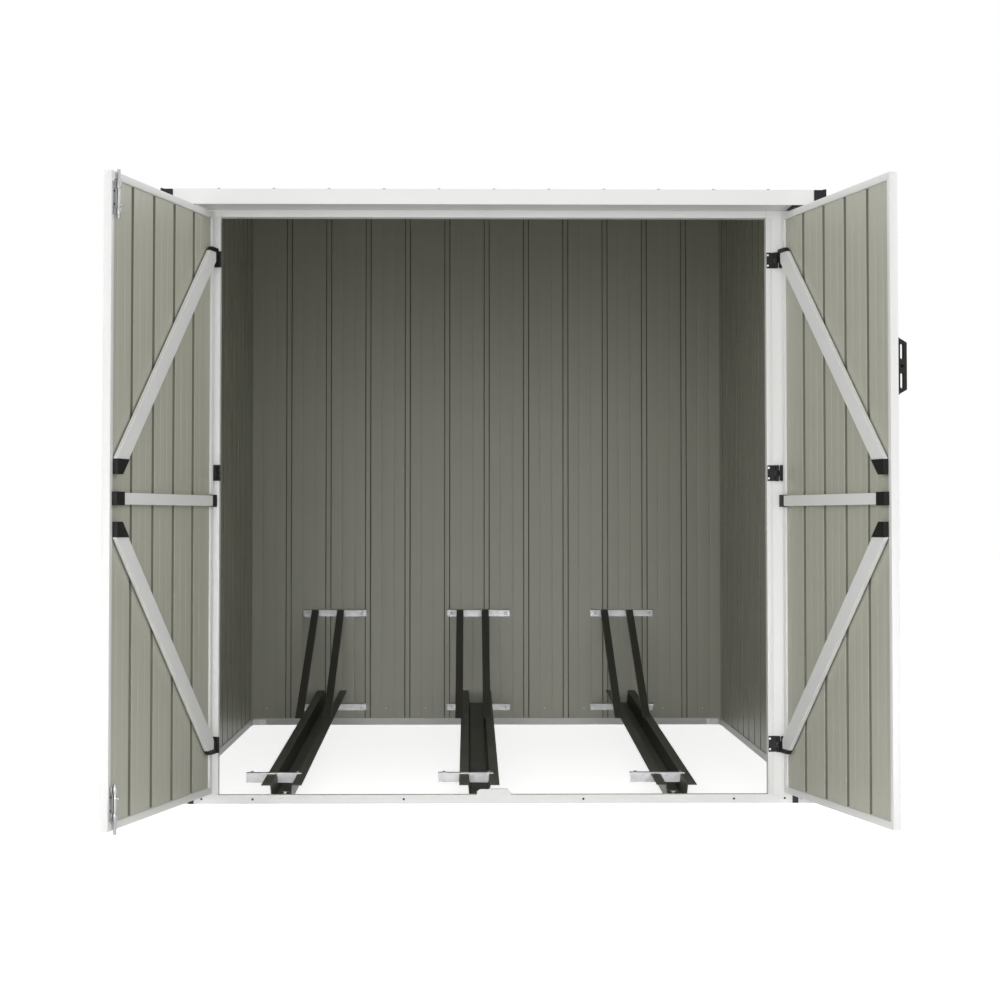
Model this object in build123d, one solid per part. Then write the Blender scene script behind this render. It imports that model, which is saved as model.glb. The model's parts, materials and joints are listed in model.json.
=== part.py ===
"""Sheet-metal bike shelter with a pent roof, two hinged doors and three wheel rails.

Millimetres. +X to the right as seen from the doors, +Y from the doors to the back wall, +Z up.
The origin is on the ground, in the middle of the underside of the front sill. The doors stand open.
"""
from build123d import *
import math
import os

# Body
BODY_WIDTH = 1568.0
BODY_DEPTH = 2020.0
FRAME_DEPTH = 30.0
TUBE_WALL = 1.5
BASE_HEIGHT = 22.0
BASE_RAIL_WIDTH = 12.0
SILL_DEPTH = 18.0
BACK_POST_LEG = 30.0

# Doorway
CORNER_POST_WIDTH = 69.0
DOORWAY_TOP = 1405.0
JAMB_WIDTH = 58.0
JAMB_FOOT_WIDTH = 35.0
SILL_HOLE_RADIUS = 3.0
SILL_HOLES_INNER_SPACING = 429.0
SILL_HOLES_OUTER_SPACING = 1150.0
CORNER_PLUG_WIDTH = 14.0
STOP_WIDTH = 80.0
STOP_HEIGHT = 13.0
STOP_CORNER = 10.0
STOP_SHEET = 2.0
STOP_LIP_WIDTH = 45.0

# Ribbed sheet of the walls, the roof and the doors
SHEET = 1.0
RIB_PITCH = 131.0
RIB_TOP_WIDTH = 14.0
RIB_BASE_WIDTH = 20.0
RIB_DEPTH = 6.0
LINE_OFFSET = 45.0
LINE_WIDTH = 5.0
LINE_DEPTH = 1.0
WALL_INSET = 2.5
SHEET_GAP = 0.3

# Roof
ROOF_SIDE_OVERHANG = 3.5
ROOF_FRONT_OVERHANG = 95.0
ROOF_BACK_OVERHANG = 12.0
SOFFIT_Z = 1423.0
SOFFIT_CORNER_WIDTH = 80.5
TRIM_HEIGHT = 36.0
TRIM_SHEET = 1.5
TRIM_LIP = 14.0
ROOF_RISE = 280.0
ROOF_CAP_WIDTH = 28.0
ROOF_CAP_PROUD = 1.0
ROOF_CAP_LENGTH = 40.0
ROOF_CAP_RISE = 2.0
SHEET_BELOW_TRIM = 8.0
TOP_RAIL_WIDTH = 25.0

# Doors
RIGHT_PIN_FROM_DOORWAY = 24.0
LEFT_PIN_FROM_DOORWAY = 0.5
HINGE_PIN_FORWARD = 6.5
DOOR_STANDOFF = 12.0
DOOR_SETBACK = 7.0
DOOR_THICKNESS = 18.0
DOOR_MEMBER = 16.0
DOOR_BOTTOM = 26.0
DOOR_TOP = 1414.0
DOORS_GAP = 6.0
DOOR_PANEL_RECESS = 4.0
DOOR_RIBS = 4
LEFT_DOOR_ANGLE = 102.4
RIGHT_DOOR_ANGLE = 101.9

# Door braces
BRACE_WIDTH = 46.0
BRACE_THICKNESS = 9.0
BRACE_FROM_HINGE_EDGE = 44.0
MID_BRACE_WIDTH = 25.0
BRACKET_THICKNESS = 11.0
BRACKET_MARGIN = 2.0
FREE_CAP_HEIGHT = 33.0
HINGE_CAP_HEIGHT = 10.0
HINGE_CAP_WIDTH = 12.0
FREE_BRACKET_LENGTH = 47.0
FREE_BRACKET_FROM_EDGE = 12.0
HINGE_BRACKET_LENGTH = 25.0
HINGE_BRACKET_FROM_EDGE = 3.0
MID_BRACE_Z = 722.0
UPPER_BRACE_TOP_Z = 1327.0
UPPER_BRACE_LOW_Z = 773.0
LOWER_BRACE_TOP_Z = 673.0
LOWER_BRACE_LOW_Z = 122.0

# Hinges
HINGE_HEIGHT = 38.0
HINGE_SHEET = 2.0
HINGE_CENTRES_Z = (141.0, 789.0, 1302.0)
JAMB_LEAF_WIDTH = 19.0
KNUCKLE_RADIUS = 4.0
PIN_RADIUS = 1.6
PIN_CLEARANCE = 0.3
KNUCKLE_GAP = 0.6
DOOR_LEAF_REACH = 20.0

# Barrel bolts of the left door
BOLT_RADIUS = 4.0
BOLT_LENGTH = 105.0
BOLT_FROM_STILE = 8.0
BOLT_PLATE_LENGTH = 70.0
BOLT_PLATE_INSET = 2.0
BOLT_PLATE_SHEET = 2.0
BOLT_TOP_PROUD = 4.0
BOLT_BOTTOM_PROUD = 8.0
BOLT_FROM_END = 22.0
BOLT_STAPLE_LENGTH = 14.0
BOLT_STAPLE_WALL = 2.0
BOLT_FIT = 0.3
BOLT_KNOB_RADIUS = 3.0
BOLT_KNOB_REACH = 10.0
BOLT_KNOB_FROM_TIP = 75.0
BOLT_KEEPER_RADIUS = 7.0

# Pull handle of the right door
HANDLE_Z = 1002.0
HANDLE_BASE_HEIGHT = 122.0
HANDLE_TOP_HEIGHT = 100.0
HANDLE_REACH = 20.0
HANDLE_THICKNESS = 10.0
HANDLE_FROM_EDGE = 3.0
HANDLE_HOLE_HEIGHT = 33.0
HANDLE_HOLE_WIDTH = 8.0
HANDLE_HOLE_OFFSET = 31.0
HANDLE_LOCK_RADIUS = 3.5
HANDLE_LOCK_DEPTH = 7.0
HANDLE_FLANGE_WIDTH = 24.0
HANDLE_FLANGE_SHEET = 3.0

# Wheel rails
RAIL_PITCH = 474.0
RAIL_MIDDLE = -34.0
RAIL_NAMES = ("left", "middle", "right")
RAIL_FLANGE_WIDTH = 97.0
RAIL_MOUTH_WIDTH = 54.0
RAIL_FLOOR_WIDTH = 46.0
RAIL_DEPTH = 43.0
RAIL_SHEET = 2.0
RAIL_FRONT = 20.0
WALL_BAR_FROM_RAIL = 7.0
WALL_BAR_LENGTH = 207.0
WALL_BAR_HEIGHT = 24.0
LOWER_BAR_TOP = 72.0
UPPER_BAR_TOP = 381.0
LOWER_BAR_REACH = 40.0
UPPER_BAR_REACH = 60.0
RAIL_REST = 16.0
BAR_SHEET = 2.0
FRONT_BAR_DEPTH = 187.0
FRONT_BAR_LENGTH = 136.0
FRONT_BAR_START = -101.0
FRONT_BAR_BOTTOM = 28.0
FRONT_BAR_REACH = 20.0
STRUT_WIDTH = 22.7
STRUT_THICKNESS = 12.0
STRUT_PLACES = (-54.0, 28.6)
STRUT_FOOT_DEPTH = 1260.0
ANCHOR_DEPTH = 125.0
ANCHOR_RADIUS = 6.0
ANCHOR_HEAD_RADIUS = 10.0
ANCHOR_HEAD_HEIGHT = 8.0
ANCHOR_FIT = 0.5
ANCHOR_GROUND_GAP = 0.5

# Back corner brackets on the floor
CORNER_BRACKET_REACH = 45.0
CORNER_BRACKET_HEIGHT = 20.0
CORNER_BRACKET_SHEET = 2.0

# Worked out from the driving dimensions
HALF_WIDTH = BODY_WIDTH / 2
FRONT = -SILL_DEPTH / 2
BACK = FRONT + BODY_DEPTH
JAMB_OUTER = HALF_WIDTH - CORNER_POST_WIDTH
DOORWAY_HALF = JAMB_OUTER - JAMB_WIDTH
FRAME_BACK = FRONT + FRAME_DEPTH
SILL_BACK = FRONT + SILL_DEPTH
SILL_TOP = BASE_HEIGHT - SHEET
RAIL_INNER_X = HALF_WIDTH - BASE_RAIL_WIDTH
RAIL_INNER_Y = BACK - BASE_RAIL_WIDTH
WALL_X = RAIL_INNER_X + WALL_INSET
WALL_Y = RAIL_INNER_Y + WALL_INSET
WALL_BOTTOM = TUBE_WALL + SHEET_GAP
ROOF_FRONT = FRONT - ROOF_FRONT_OVERHANG
ROOF_BACK = BACK + ROOF_BACK_OVERHANG
ROOF_RUN = ROOF_BACK - ROOF_FRONT
ROOF_ANGLE = math.degrees(math.atan2(ROOF_RISE, ROOF_RUN))
TRIM_TOP = SOFFIT_Z + TRIM_HEIGHT
SHEET_FRONT = TRIM_TOP - SHEET_BELOW_TRIM
ROOF_HALF = HALF_WIDTH + ROOF_SIDE_OVERHANG
SOFFIT_HALF_WIDTH = ROOF_HALF - SOFFIT_CORNER_WIDTH
HINGE_PIN_X = DOORWAY_HALF + (RIGHT_PIN_FROM_DOORWAY + LEFT_PIN_FROM_DOORWAY) / 2
DOORS_SHIFT = (RIGHT_PIN_FROM_DOORWAY - LEFT_PIN_FROM_DOORWAY) / 2
PIN_Y = FRONT - HINGE_PIN_FORWARD
DOOR_INNER_Y = PIN_Y - DOOR_STANDOFF
DOOR_OUTER_Y = DOOR_INNER_Y - DOOR_THICKNESS
DOOR_FREE_X = DOORS_GAP / 2
DOOR_HINGE_X = HINGE_PIN_X - DOOR_SETBACK
DOOR_HEIGHT = DOOR_TOP - DOOR_BOTTOM
RAIL_CENTRES = (RAIL_MIDDLE - RAIL_PITCH, RAIL_MIDDLE, RAIL_MIDDLE + RAIL_PITCH)
RAIL_BACK = RAIL_INNER_Y - LOWER_BAR_REACH + RAIL_REST
RAIL_START = FRONT + RAIL_FRONT
RAIL_RUN = RAIL_BACK - RAIL_START
RAIL_SLOPE = LOWER_BAR_TOP / (RAIL_RUN - RAIL_REST)
RAIL_ANGLE = math.degrees(math.atan(RAIL_SLOPE))

os.makedirs("parts", exist_ok=True)


def block(x0, x1, y0, y1, z0, z1):
    """A plain block between two opposite corners."""
    size = (x1 - x0, y1 - y0, z1 - z0)
    return Pos((x0 + x1) / 2, (y0 + y1) / 2, (z0 + z1) / 2) * Box(*size)


def upright_tube(x0, x1, y0, y1, z0, z1, wall=TUBE_WALL):
    """A square tube that stands upright, open at both ends."""
    core = block(x0 + wall, x1 - wall, y0 + wall, y1 - wall, z0 - 1, z1 + 1)
    return block(x0, x1, y0, y1, z0, z1) - core


def prism(points, plane, length):
    """A closed outline of straight lines, extruded from a plane."""
    face = plane * make_face(Polyline(*points, close=True))
    return extrude(face, amount=length, dir=plane.z_dir)


def cylinder_z(x, y, z0, z1, radius):
    """An upright cylinder."""
    return Pos(x, y, (z0 + z1) / 2) * Cylinder(radius, z1 - z0)


def group(solids):
    """Separate solids that share one node."""
    return Compound(children=list(solids))


def mirrored(shape):
    """The same shape on the other side of the centre line."""
    return mirror(shape, about=Plane.YZ)


def save(shape, name):
    """One file for each node."""
    export_step(shape, f"parts/{name}.step")


def roof_underside(y):
    """Height of the underside of the roof sheet."""
    return SHEET_FRONT + (y - ROOF_FRONT) * ROOF_RISE / ROOF_RUN


def rib_path(start, end, centres):
    """Inner line of ribbed sheet, as points (along, outwards), with ribs at the given centres."""
    path = [(start, 0.0)]
    for centre in centres:
        marks = [
            (centre - LINE_OFFSET - LINE_WIDTH / 2, 0.0),
            (centre - LINE_OFFSET, LINE_DEPTH),
            (centre - LINE_OFFSET + LINE_WIDTH / 2, 0.0),
            (centre - RIB_BASE_WIDTH / 2, 0.0),
            (centre - RIB_TOP_WIDTH / 2, RIB_DEPTH),
            (centre + RIB_TOP_WIDTH / 2, RIB_DEPTH),
            (centre + RIB_BASE_WIDTH / 2, 0.0),
            (centre + LINE_OFFSET - LINE_WIDTH / 2, 0.0),
            (centre + LINE_OFFSET, LINE_DEPTH),
            (centre + LINE_OFFSET + LINE_WIDTH / 2, 0.0),
        ]
        path += [mark for mark in marks if start < mark[0] < end]
    path.append((end, 0.0))
    return path


def ribbed_outline(start, end, centres):
    """Closed outline of ribbed sheet of even thickness, ribs outwards."""
    inner = rib_path(start, end, centres)
    outer = [(along, out + SHEET) for along, out in reversed(inner)]
    return inner + outer


def rib_centres(width):
    """Centres of the ribs on a sheet, at the pitch and symmetric about zero."""
    count = int(width / RIB_PITCH)
    first = -(count - 1) / 2 * RIB_PITCH
    return [first + step * RIB_PITCH for step in range(count)]


# Base
def front_sill():
    half = JAMB_OUTER - JAMB_FOOT_WIDTH
    outside = block(-half, half, FRONT, SILL_BACK, 0, SILL_TOP)
    inside = block(-half - 1, half + 1, FRONT + TUBE_WALL, SILL_BACK - TUBE_WALL, TUBE_WALL,
                   SILL_TOP - TUBE_WALL)
    sill = outside - inside
    for spacing in (SILL_HOLES_INNER_SPACING, SILL_HOLES_OUTER_SPACING):
        for x in (-spacing / 2, spacing / 2):
            sill -= Pos(x, FRONT, SILL_TOP / 2) * Rot(90, 0, 0) * Cylinder(SILL_HOLE_RADIUS, 4 * TUBE_WALL)
    return sill


def side_base_rail():
    x0 = RAIL_INNER_X
    y0 = FRAME_BACK
    outside = block(x0, HALF_WIDTH, y0, RAIL_INNER_Y, 0, BASE_HEIGHT)
    inside = block(x0 + TUBE_WALL, HALF_WIDTH - TUBE_WALL, y0 - 1, BACK, TUBE_WALL, BASE_HEIGHT + 1)
    return outside - inside


def back_base_rail():
    outside = block(-HALF_WIDTH, HALF_WIDTH, RAIL_INNER_Y, BACK, 0, BASE_HEIGHT)
    inside = block(-HALF_WIDTH - 1, HALF_WIDTH + 1, RAIL_INNER_Y + TUBE_WALL, BACK - TUBE_WALL,
                   TUBE_WALL, BASE_HEIGHT + 1)
    return outside - inside


def corner_plug():
    """Black plug that fills the foot of the front corner, between jamb and corner post."""
    return block(JAMB_OUTER, JAMB_OUTER + CORNER_PLUG_WIDTH, FRONT, FRAME_BACK, 0, BASE_HEIGHT)


def corner_bracket():
    """Angle bracket on the floor in a back corner."""
    x1 = RAIL_INNER_X
    y1 = RAIL_INNER_Y
    reach = CORNER_BRACKET_REACH
    sheet = CORNER_BRACKET_SHEET
    along_side = block(x1 - sheet, x1, y1 - reach, y1, 0, CORNER_BRACKET_HEIGHT)
    along_back = block(x1 - reach, x1, y1 - sheet, y1, 0, CORNER_BRACKET_HEIGHT)
    return along_side + along_back


def door_stop():
    """Folded stop on the sill: a rounded tab at the front and a lip behind it, in line with the doors' joint."""
    top = SILL_TOP
    half = STOP_WIDTH / 2
    high = top + STOP_HEIGHT
    tab = block(-half, half, FRONT, FRONT + STOP_SHEET, top, high)
    tab = fillet(tab.edges().filter_by(Axis.Y).group_by(Axis.Z)[-1], STOP_CORNER)
    foot_half = half - STOP_CORNER
    tab += block(-foot_half, foot_half, FRONT + STOP_SHEET, SILL_BACK, top, top + STOP_SHEET)
    lip_half = STOP_LIP_WIDTH / 2
    return tab + block(DOORS_SHIFT - lip_half, DOORS_SHIFT + lip_half, SILL_BACK - STOP_SHEET, SILL_BACK,
                       top + STOP_SHEET, high)


# Frame
def jamb():
    x0 = DOORWAY_HALF
    foot_x = JAMB_OUTER - JAMB_FOOT_WIDTH
    tube = upright_tube(x0, JAMB_OUTER, FRONT, FRAME_BACK, 0, SOFFIT_Z)
    notch = block(x0 - 1, foot_x, FRONT - 1, SILL_BACK, -1, SILL_TOP)
    return tube - notch


def front_post():
    tube = upright_tube(JAMB_OUTER, HALF_WIDTH, FRONT, FRAME_BACK, BASE_HEIGHT, SOFFIT_Z)
    foot = block(JAMB_OUTER + CORNER_PLUG_WIDTH, HALF_WIDTH, FRONT, FRAME_BACK, 0, BASE_HEIGHT)
    return tube + foot


def back_post():
    """Upright angle outside a back corner, over the ends of the wall sheets."""
    leg = BACK_POST_LEG
    high = roof_underside(BACK - leg) - SHEET_GAP
    along_side = block(HALF_WIDTH - TUBE_WALL, HALF_WIDTH, BACK - leg, BACK, BASE_HEIGHT, high)
    along_back = block(HALF_WIDTH - leg, HALF_WIDTH, BACK - TUBE_WALL, BACK, BASE_HEIGHT, high)
    return along_side + along_back


def header():
    """Beam over the doorway; its upper part is behind the roof's front trim."""
    outside = block(-DOORWAY_HALF, DOORWAY_HALF, FRONT, FRAME_BACK, DOORWAY_TOP, SOFFIT_Z)
    inside = block(-DOORWAY_HALF - 1, DOORWAY_HALF + 1, FRONT + TUBE_WALL, FRAME_BACK - TUBE_WALL,
                   DOORWAY_TOP + TUBE_WALL, SOFFIT_Z - TUBE_WALL)
    return outside - inside


def eaves_board():
    """Strip that closes the front between the header and the roof sheet."""
    x1 = HALF_WIDTH
    top = roof_underside(FRONT) - SHEET_GAP
    return block(-x1, x1, FRONT, FRONT + TUBE_WALL, SOFFIT_Z, top)


def top_rail_side():
    """Angle under the roof sheet, along the top of a side wall."""
    x1 = WALL_X - SHEET_GAP
    y0 = FRONT + TUBE_WALL
    y1 = WALL_Y - SHEET_GAP
    gap = SHEET_GAP
    low = [(y0, roof_underside(y0) - TOP_RAIL_WIDTH), (y1, roof_underside(y1) - TOP_RAIL_WIDTH)]
    high = [(y1, roof_underside(y1) - gap), (y0, roof_underside(y0) - gap)]
    web = prism(low + high, Plane.YZ.offset(x1 - TUBE_WALL), TUBE_WALL)
    flange_low = [(y0, roof_underside(y0) - gap - TUBE_WALL), (y1, roof_underside(y1) - gap - TUBE_WALL)]
    flange = prism(flange_low + high, Plane.YZ.offset(x1 - TOP_RAIL_WIDTH), TOP_RAIL_WIDTH)
    return web + flange


def top_rail_back():
    """Angle along the top of the back wall, between the two side rails."""
    x1 = WALL_X - SHEET_GAP - TOP_RAIL_WIDTH
    y1 = WALL_Y - SHEET_GAP
    top = roof_underside(y1 - TUBE_WALL) - SHEET_GAP
    web = block(-x1, x1, y1 - TUBE_WALL, y1, top - TOP_RAIL_WIDTH, top)
    shelf = block(-x1, x1, y1 - TOP_RAIL_WIDTH, y1, top - TOP_RAIL_WIDTH, top - TOP_RAIL_WIDTH + TUBE_WALL)
    return web + shelf


# Walls
def side_wall():
    """Right wall, ribs outwards, cut to the slope of the roof."""
    y0 = FRAME_BACK + SHEET_GAP
    y1 = RAIL_INNER_Y - SHEET_GAP
    middle = (y0 + y1) / 2
    centres = [middle + centre for centre in rib_centres(y1 - y0)]
    outline = [(WALL_X + out, along) for along, out in ribbed_outline(y0, y1, centres)]
    top = roof_underside(y1)
    sheet = prism(outline, Plane.XY.offset(WALL_BOTTOM), top - WALL_BOTTOM)
    side = [(y0 - 1, 0), (y1 + 1, 0), (y1 + 1, roof_underside(y1 + 1) - SHEET_GAP),
            (y0 - 1, roof_underside(y0 - 1) - SHEET_GAP)]
    return sheet & prism(side, Plane.YZ.offset(WALL_X - 1), BASE_RAIL_WIDTH)


def back_wall():
    """Back wall, ribs outwards."""
    x1 = WALL_X + RIB_DEPTH + SHEET
    outline = [(along, WALL_Y + out) for along, out in ribbed_outline(-x1, x1, rib_centres(2 * x1))]
    top = roof_underside(WALL_Y) - SHEET_GAP
    return prism(outline, Plane.XY.offset(WALL_BOTTOM), top - WALL_BOTTOM)


# Roof
def roof_sheet():
    """Ribbed sheet, ribs up, sloping down to the front."""
    half = ROOF_HALF - TRIM_SHEET - SHEET_GAP
    tilt = math.radians(ROOF_ANGLE)
    y0 = ROOF_FRONT + TRIM_SHEET + SHEET_GAP + (RIB_DEPTH + SHEET) * math.sin(tilt)
    outline = ribbed_outline(-half, half, rib_centres(2 * half))
    flat = prism(outline, Plane.XZ, (y0 - ROOF_BACK) / math.cos(tilt))
    return Pos(0, y0, roof_underside(y0)) * Rot(ROOF_ANGLE, 0, 0) * flat


def roof_front_trim():
    """Fascia with a soffit panel behind it."""
    half = ROOF_HALF - ROOF_CAP_WIDTH
    fascia = block(-half, half, ROOF_FRONT, ROOF_FRONT + TRIM_SHEET, SOFFIT_Z, TRIM_TOP)
    soffit = block(-SOFFIT_HALF_WIDTH, SOFFIT_HALF_WIDTH, ROOF_FRONT, FRONT - SHEET_GAP,
                   SOFFIT_Z, SOFFIT_Z + TRIM_SHEET)
    keeper = cylinder_z(DOORS_SHIFT - bolt_x(), bolt_line_y(), SOFFIT_Z - 1, SOFFIT_Z + TRIM_SHEET + 1,
                        BOLT_KEEPER_RADIUS)
    return fascia + soffit - keeper


def roof_side_trim():
    """Sloping trim along the right edge of the roof, with a lip over the sheet."""
    x1 = ROOF_HALF
    y0 = ROOF_FRONT + ROOF_CAP_LENGTH
    y1 = ROOF_BACK - ROOF_CAP_LENGTH
    drop = TRIM_HEIGHT - SHEET_BELOW_TRIM
    rise = RIB_DEPTH + SHEET + TRIM_SHEET + SHEET_GAP
    outline = [(y0, roof_underside(y0) - drop), (y1, roof_underside(y1) - drop),
               (y1, roof_underside(y1) + rise), (y0, roof_underside(y0) + rise)]
    side = prism(outline, Plane.YZ.offset(x1 - TRIM_SHEET), TRIM_SHEET)
    lip = [(y0, roof_underside(y0) + rise - TRIM_SHEET), (y1, roof_underside(y1) + rise - TRIM_SHEET),
           (y1, roof_underside(y1) + rise), (y0, roof_underside(y0) + rise)]
    return side + prism(lip, Plane.YZ.offset(x1 - TRIM_LIP), TRIM_LIP)


def roof_back_trim():
    half = ROOF_HALF - ROOF_CAP_WIDTH
    top = roof_underside(ROOF_BACK)
    return block(-half, half, ROOF_BACK + SHEET_GAP, ROOF_BACK + SHEET_GAP + TRIM_SHEET, top - TRIM_HEIGHT,
                 top + RIB_DEPTH + SHEET)


def roof_front_cap():
    """Black corner piece: a cap on the end of the fascia and a plate under the overhang."""
    x1 = ROOF_HALF + ROOF_CAP_PROUD
    x0 = ROOF_HALF - ROOF_CAP_WIDTH
    y0 = ROOF_FRONT - ROOF_CAP_PROUD
    y1 = ROOF_FRONT + ROOF_CAP_LENGTH
    rise = SHEET_BELOW_TRIM + ROOF_CAP_RISE
    front = block(x0, x1, y0, ROOF_FRONT + TRIM_SHEET, SOFFIT_Z, TRIM_TOP)
    side = block(ROOF_HALF - TRIM_SHEET, x1, y0, y1, SOFFIT_Z, TRIM_TOP)
    plate = block(SOFFIT_HALF_WIDTH, x1, ROOF_FRONT + TRIM_SHEET, FRONT - SHEET_GAP, SOFFIT_Z,
                  SOFFIT_Z + TRIM_SHEET)
    ear = [(y0, TRIM_TOP), (y1, TRIM_TOP), (y1, roof_underside(y1) + rise), (y0, roof_underside(y0) + rise)]
    side += prism(ear, Plane.YZ.offset(ROOF_HALF - TRIM_SHEET), TRIM_SHEET + ROOF_CAP_PROUD)
    return front + side + plate


def roof_back_cap():
    x1 = ROOF_HALF + ROOF_CAP_PROUD
    x0 = ROOF_HALF - ROOF_CAP_WIDTH
    y0 = ROOF_BACK - ROOF_CAP_LENGTH
    y1 = ROOF_BACK + SHEET_GAP + TRIM_SHEET + ROOF_CAP_PROUD
    top = roof_underside(y1) + RIB_DEPTH + SHEET + TRIM_SHEET + SHEET_GAP
    low = roof_underside(y0) - TRIM_HEIGHT
    side = block(ROOF_HALF - TRIM_SHEET, x1, y0, y1, low, top)
    back = block(x0, x1, ROOF_BACK + SHEET_GAP, y1, low, top)
    return side + back


# The doors are drawn closed, as a pair about their own middle, and then hung in the doorway
def bolt_line_y():
    """The line of the bolts, on the inner face of the closed door."""
    return DOOR_INNER_Y + BOLT_RADIUS + BOLT_FIT + BOLT_STAPLE_WALL


def bolt_x():
    return DOOR_FREE_X + DOOR_MEMBER + BOLT_FROM_STILE


def hang(shape, side):
    """Put a shape drawn on the right half of the pair in the doorway, mirrored for the left side."""
    return Pos(DOORS_SHIFT, 0, 0) * (mirrored(shape) if side < 0 else shape)


def turn_door(shape, angle, side):
    """Turn a closed right-hand door about its pin and hang it on its side of the doorway."""
    turned = Pos(HINGE_PIN_X, PIN_Y, 0) * Rot(0, 0, angle) * Pos(-HINGE_PIN_X, -PIN_Y, 0) * shape
    return hang(turned, side)


def door_frame():
    x0 = DOOR_FREE_X
    x1 = DOOR_HINGE_X
    member = DOOR_MEMBER
    free = block(x0, x0 + member, DOOR_OUTER_Y, DOOR_INNER_Y, DOOR_BOTTOM, DOOR_TOP)
    hinge = block(x1 - member, x1, DOOR_OUTER_Y, DOOR_INNER_Y, DOOR_BOTTOM, DOOR_TOP)
    top = block(x0 + member, x1 - member, DOOR_OUTER_Y, DOOR_INNER_Y, DOOR_TOP - member, DOOR_TOP)
    low = block(x0 + member, x1 - member, DOOR_OUTER_Y, DOOR_INNER_Y, DOOR_BOTTOM, DOOR_BOTTOM + member)
    return [free, hinge, top, low]


def door_panel():
    """Ribbed sheet inside the door frame, ribs to the outside."""
    x0 = DOOR_FREE_X + DOOR_MEMBER
    x1 = DOOR_HINGE_X - DOOR_MEMBER
    middle = (x0 + x1) / 2
    span = (DOOR_RIBS - 1) / 2
    centres = [middle + (step - span) * RIB_PITCH for step in range(DOOR_RIBS)]
    y = DOOR_INNER_Y - DOOR_PANEL_RECESS
    outline = [(along, y - out) for along, out in ribbed_outline(x0, x1, centres)]
    low = DOOR_BOTTOM + DOOR_MEMBER
    return prism(outline, Plane.XY.offset(low), DOOR_HEIGHT - 2 * DOOR_MEMBER)


def slanted(z_hinge, z_free, x0, x1, low, high, thickness):
    """The part of a slanting brace inside a box on the inner face of the door."""
    fall = -1 if z_free < z_hinge else 1
    hinge_end = DOOR_HINGE_X - BRACE_FROM_HINGE_EDGE
    free_end = DOOR_FREE_X + DOOR_MEMBER
    run = (free_end - hinge_end) / (z_free - fall * FREE_CAP_HEIGHT - z_hinge)
    width = BRACE_WIDTH * math.hypot(1, run)
    at_low = hinge_end + (low - z_hinge) * run
    at_high = hinge_end + (high - z_hinge) * run
    outline = [(at_low, low), (at_low + width, low), (at_high + width, high), (at_high, high)]
    face = Plane(origin=(0, DOOR_INNER_Y, 0), x_dir=(1, 0, 0), z_dir=(0, -1, 0))
    return prism(outline, face, -thickness) & block(x0, x1, DOOR_INNER_Y, DOOR_INNER_Y + thickness, low, high)


def slanting_braces():
    """Hinge end and free end heights of the two braces that slant."""
    return (UPPER_BRACE_TOP_Z, UPPER_BRACE_LOW_Z), (LOWER_BRACE_LOW_Z, LOWER_BRACE_TOP_Z)


def door_braces():
    """Flat bars on the inside of the door: two that slant and a level one."""
    free = DOOR_FREE_X + DOOR_MEMBER
    side = DOOR_HINGE_X - HINGE_CAP_WIDTH
    bars = []
    for z_hinge, z_free in slanting_braces():
        fall = -1 if z_free < z_hinge else 1
        low, high = sorted((z_hinge + fall * HINGE_CAP_HEIGHT, z_free - fall * FREE_CAP_HEIGHT))
        bars.append(slanted(z_hinge, z_free, free, side, low, high, BRACE_THICKNESS))
    x0 = DOOR_FREE_X + FREE_BRACKET_FROM_EDGE + FREE_BRACKET_LENGTH
    x1 = DOOR_HINGE_X - HINGE_BRACKET_FROM_EDGE - HINGE_BRACKET_LENGTH
    half = MID_BRACE_WIDTH / 2
    bars.append(block(x0, x1, DOOR_INNER_Y, DOOR_INNER_Y + BRACE_THICKNESS, MID_BRACE_Z - half,
                      MID_BRACE_Z + half))
    return bars


def door_brackets():
    """Black end caps of the braces."""
    free = DOOR_FREE_X + DOOR_MEMBER
    side = DOOR_HINGE_X - HINGE_CAP_WIDTH
    solids = []
    for z_hinge, z_free in slanting_braces():
        fall = -1 if z_free < z_hinge else 1
        middle = (z_hinge + z_free) / 2
        low, high = sorted((z_free, z_free - fall * FREE_CAP_HEIGHT))
        solids.append(slanted(z_hinge, z_free, free, DOOR_HINGE_X, low, high, BRACKET_THICKNESS))
        low, high = sorted((z_hinge, z_hinge + fall * HINGE_CAP_HEIGHT))
        cap = slanted(z_hinge, z_free, free, DOOR_HINGE_X, low, high, BRACKET_THICKNESS)
        low, high = sorted((z_hinge, middle))
        solids.append(cap + slanted(z_hinge, z_free, side, DOOR_HINGE_X, low, high, BRACKET_THICKNESS))
    half = MID_BRACE_WIDTH / 2 + BRACKET_MARGIN
    free = DOOR_FREE_X + FREE_BRACKET_FROM_EDGE
    hinge = DOOR_HINGE_X - HINGE_BRACKET_FROM_EDGE
    for x0, x1 in ((free, free + FREE_BRACKET_LENGTH), (hinge - HINGE_BRACKET_LENGTH, hinge)):
        solids.append(block(x0, x1, DOOR_INNER_Y, DOOR_INNER_Y + BRACKET_THICKNESS, MID_BRACE_Z - half,
                            MID_BRACE_Z + half))
    return solids


def knuckle_spans(z):
    """Heights of the three knuckles of a hinge: two on the jamb and the middle one on the door."""
    low = z - HINGE_HEIGHT / 2
    height = (HINGE_HEIGHT - 2 * KNUCKLE_GAP) / 3
    starts = [low + step * (height + KNUCKLE_GAP) for step in range(3)]
    return [(start, start + height) for start in starts]


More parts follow.
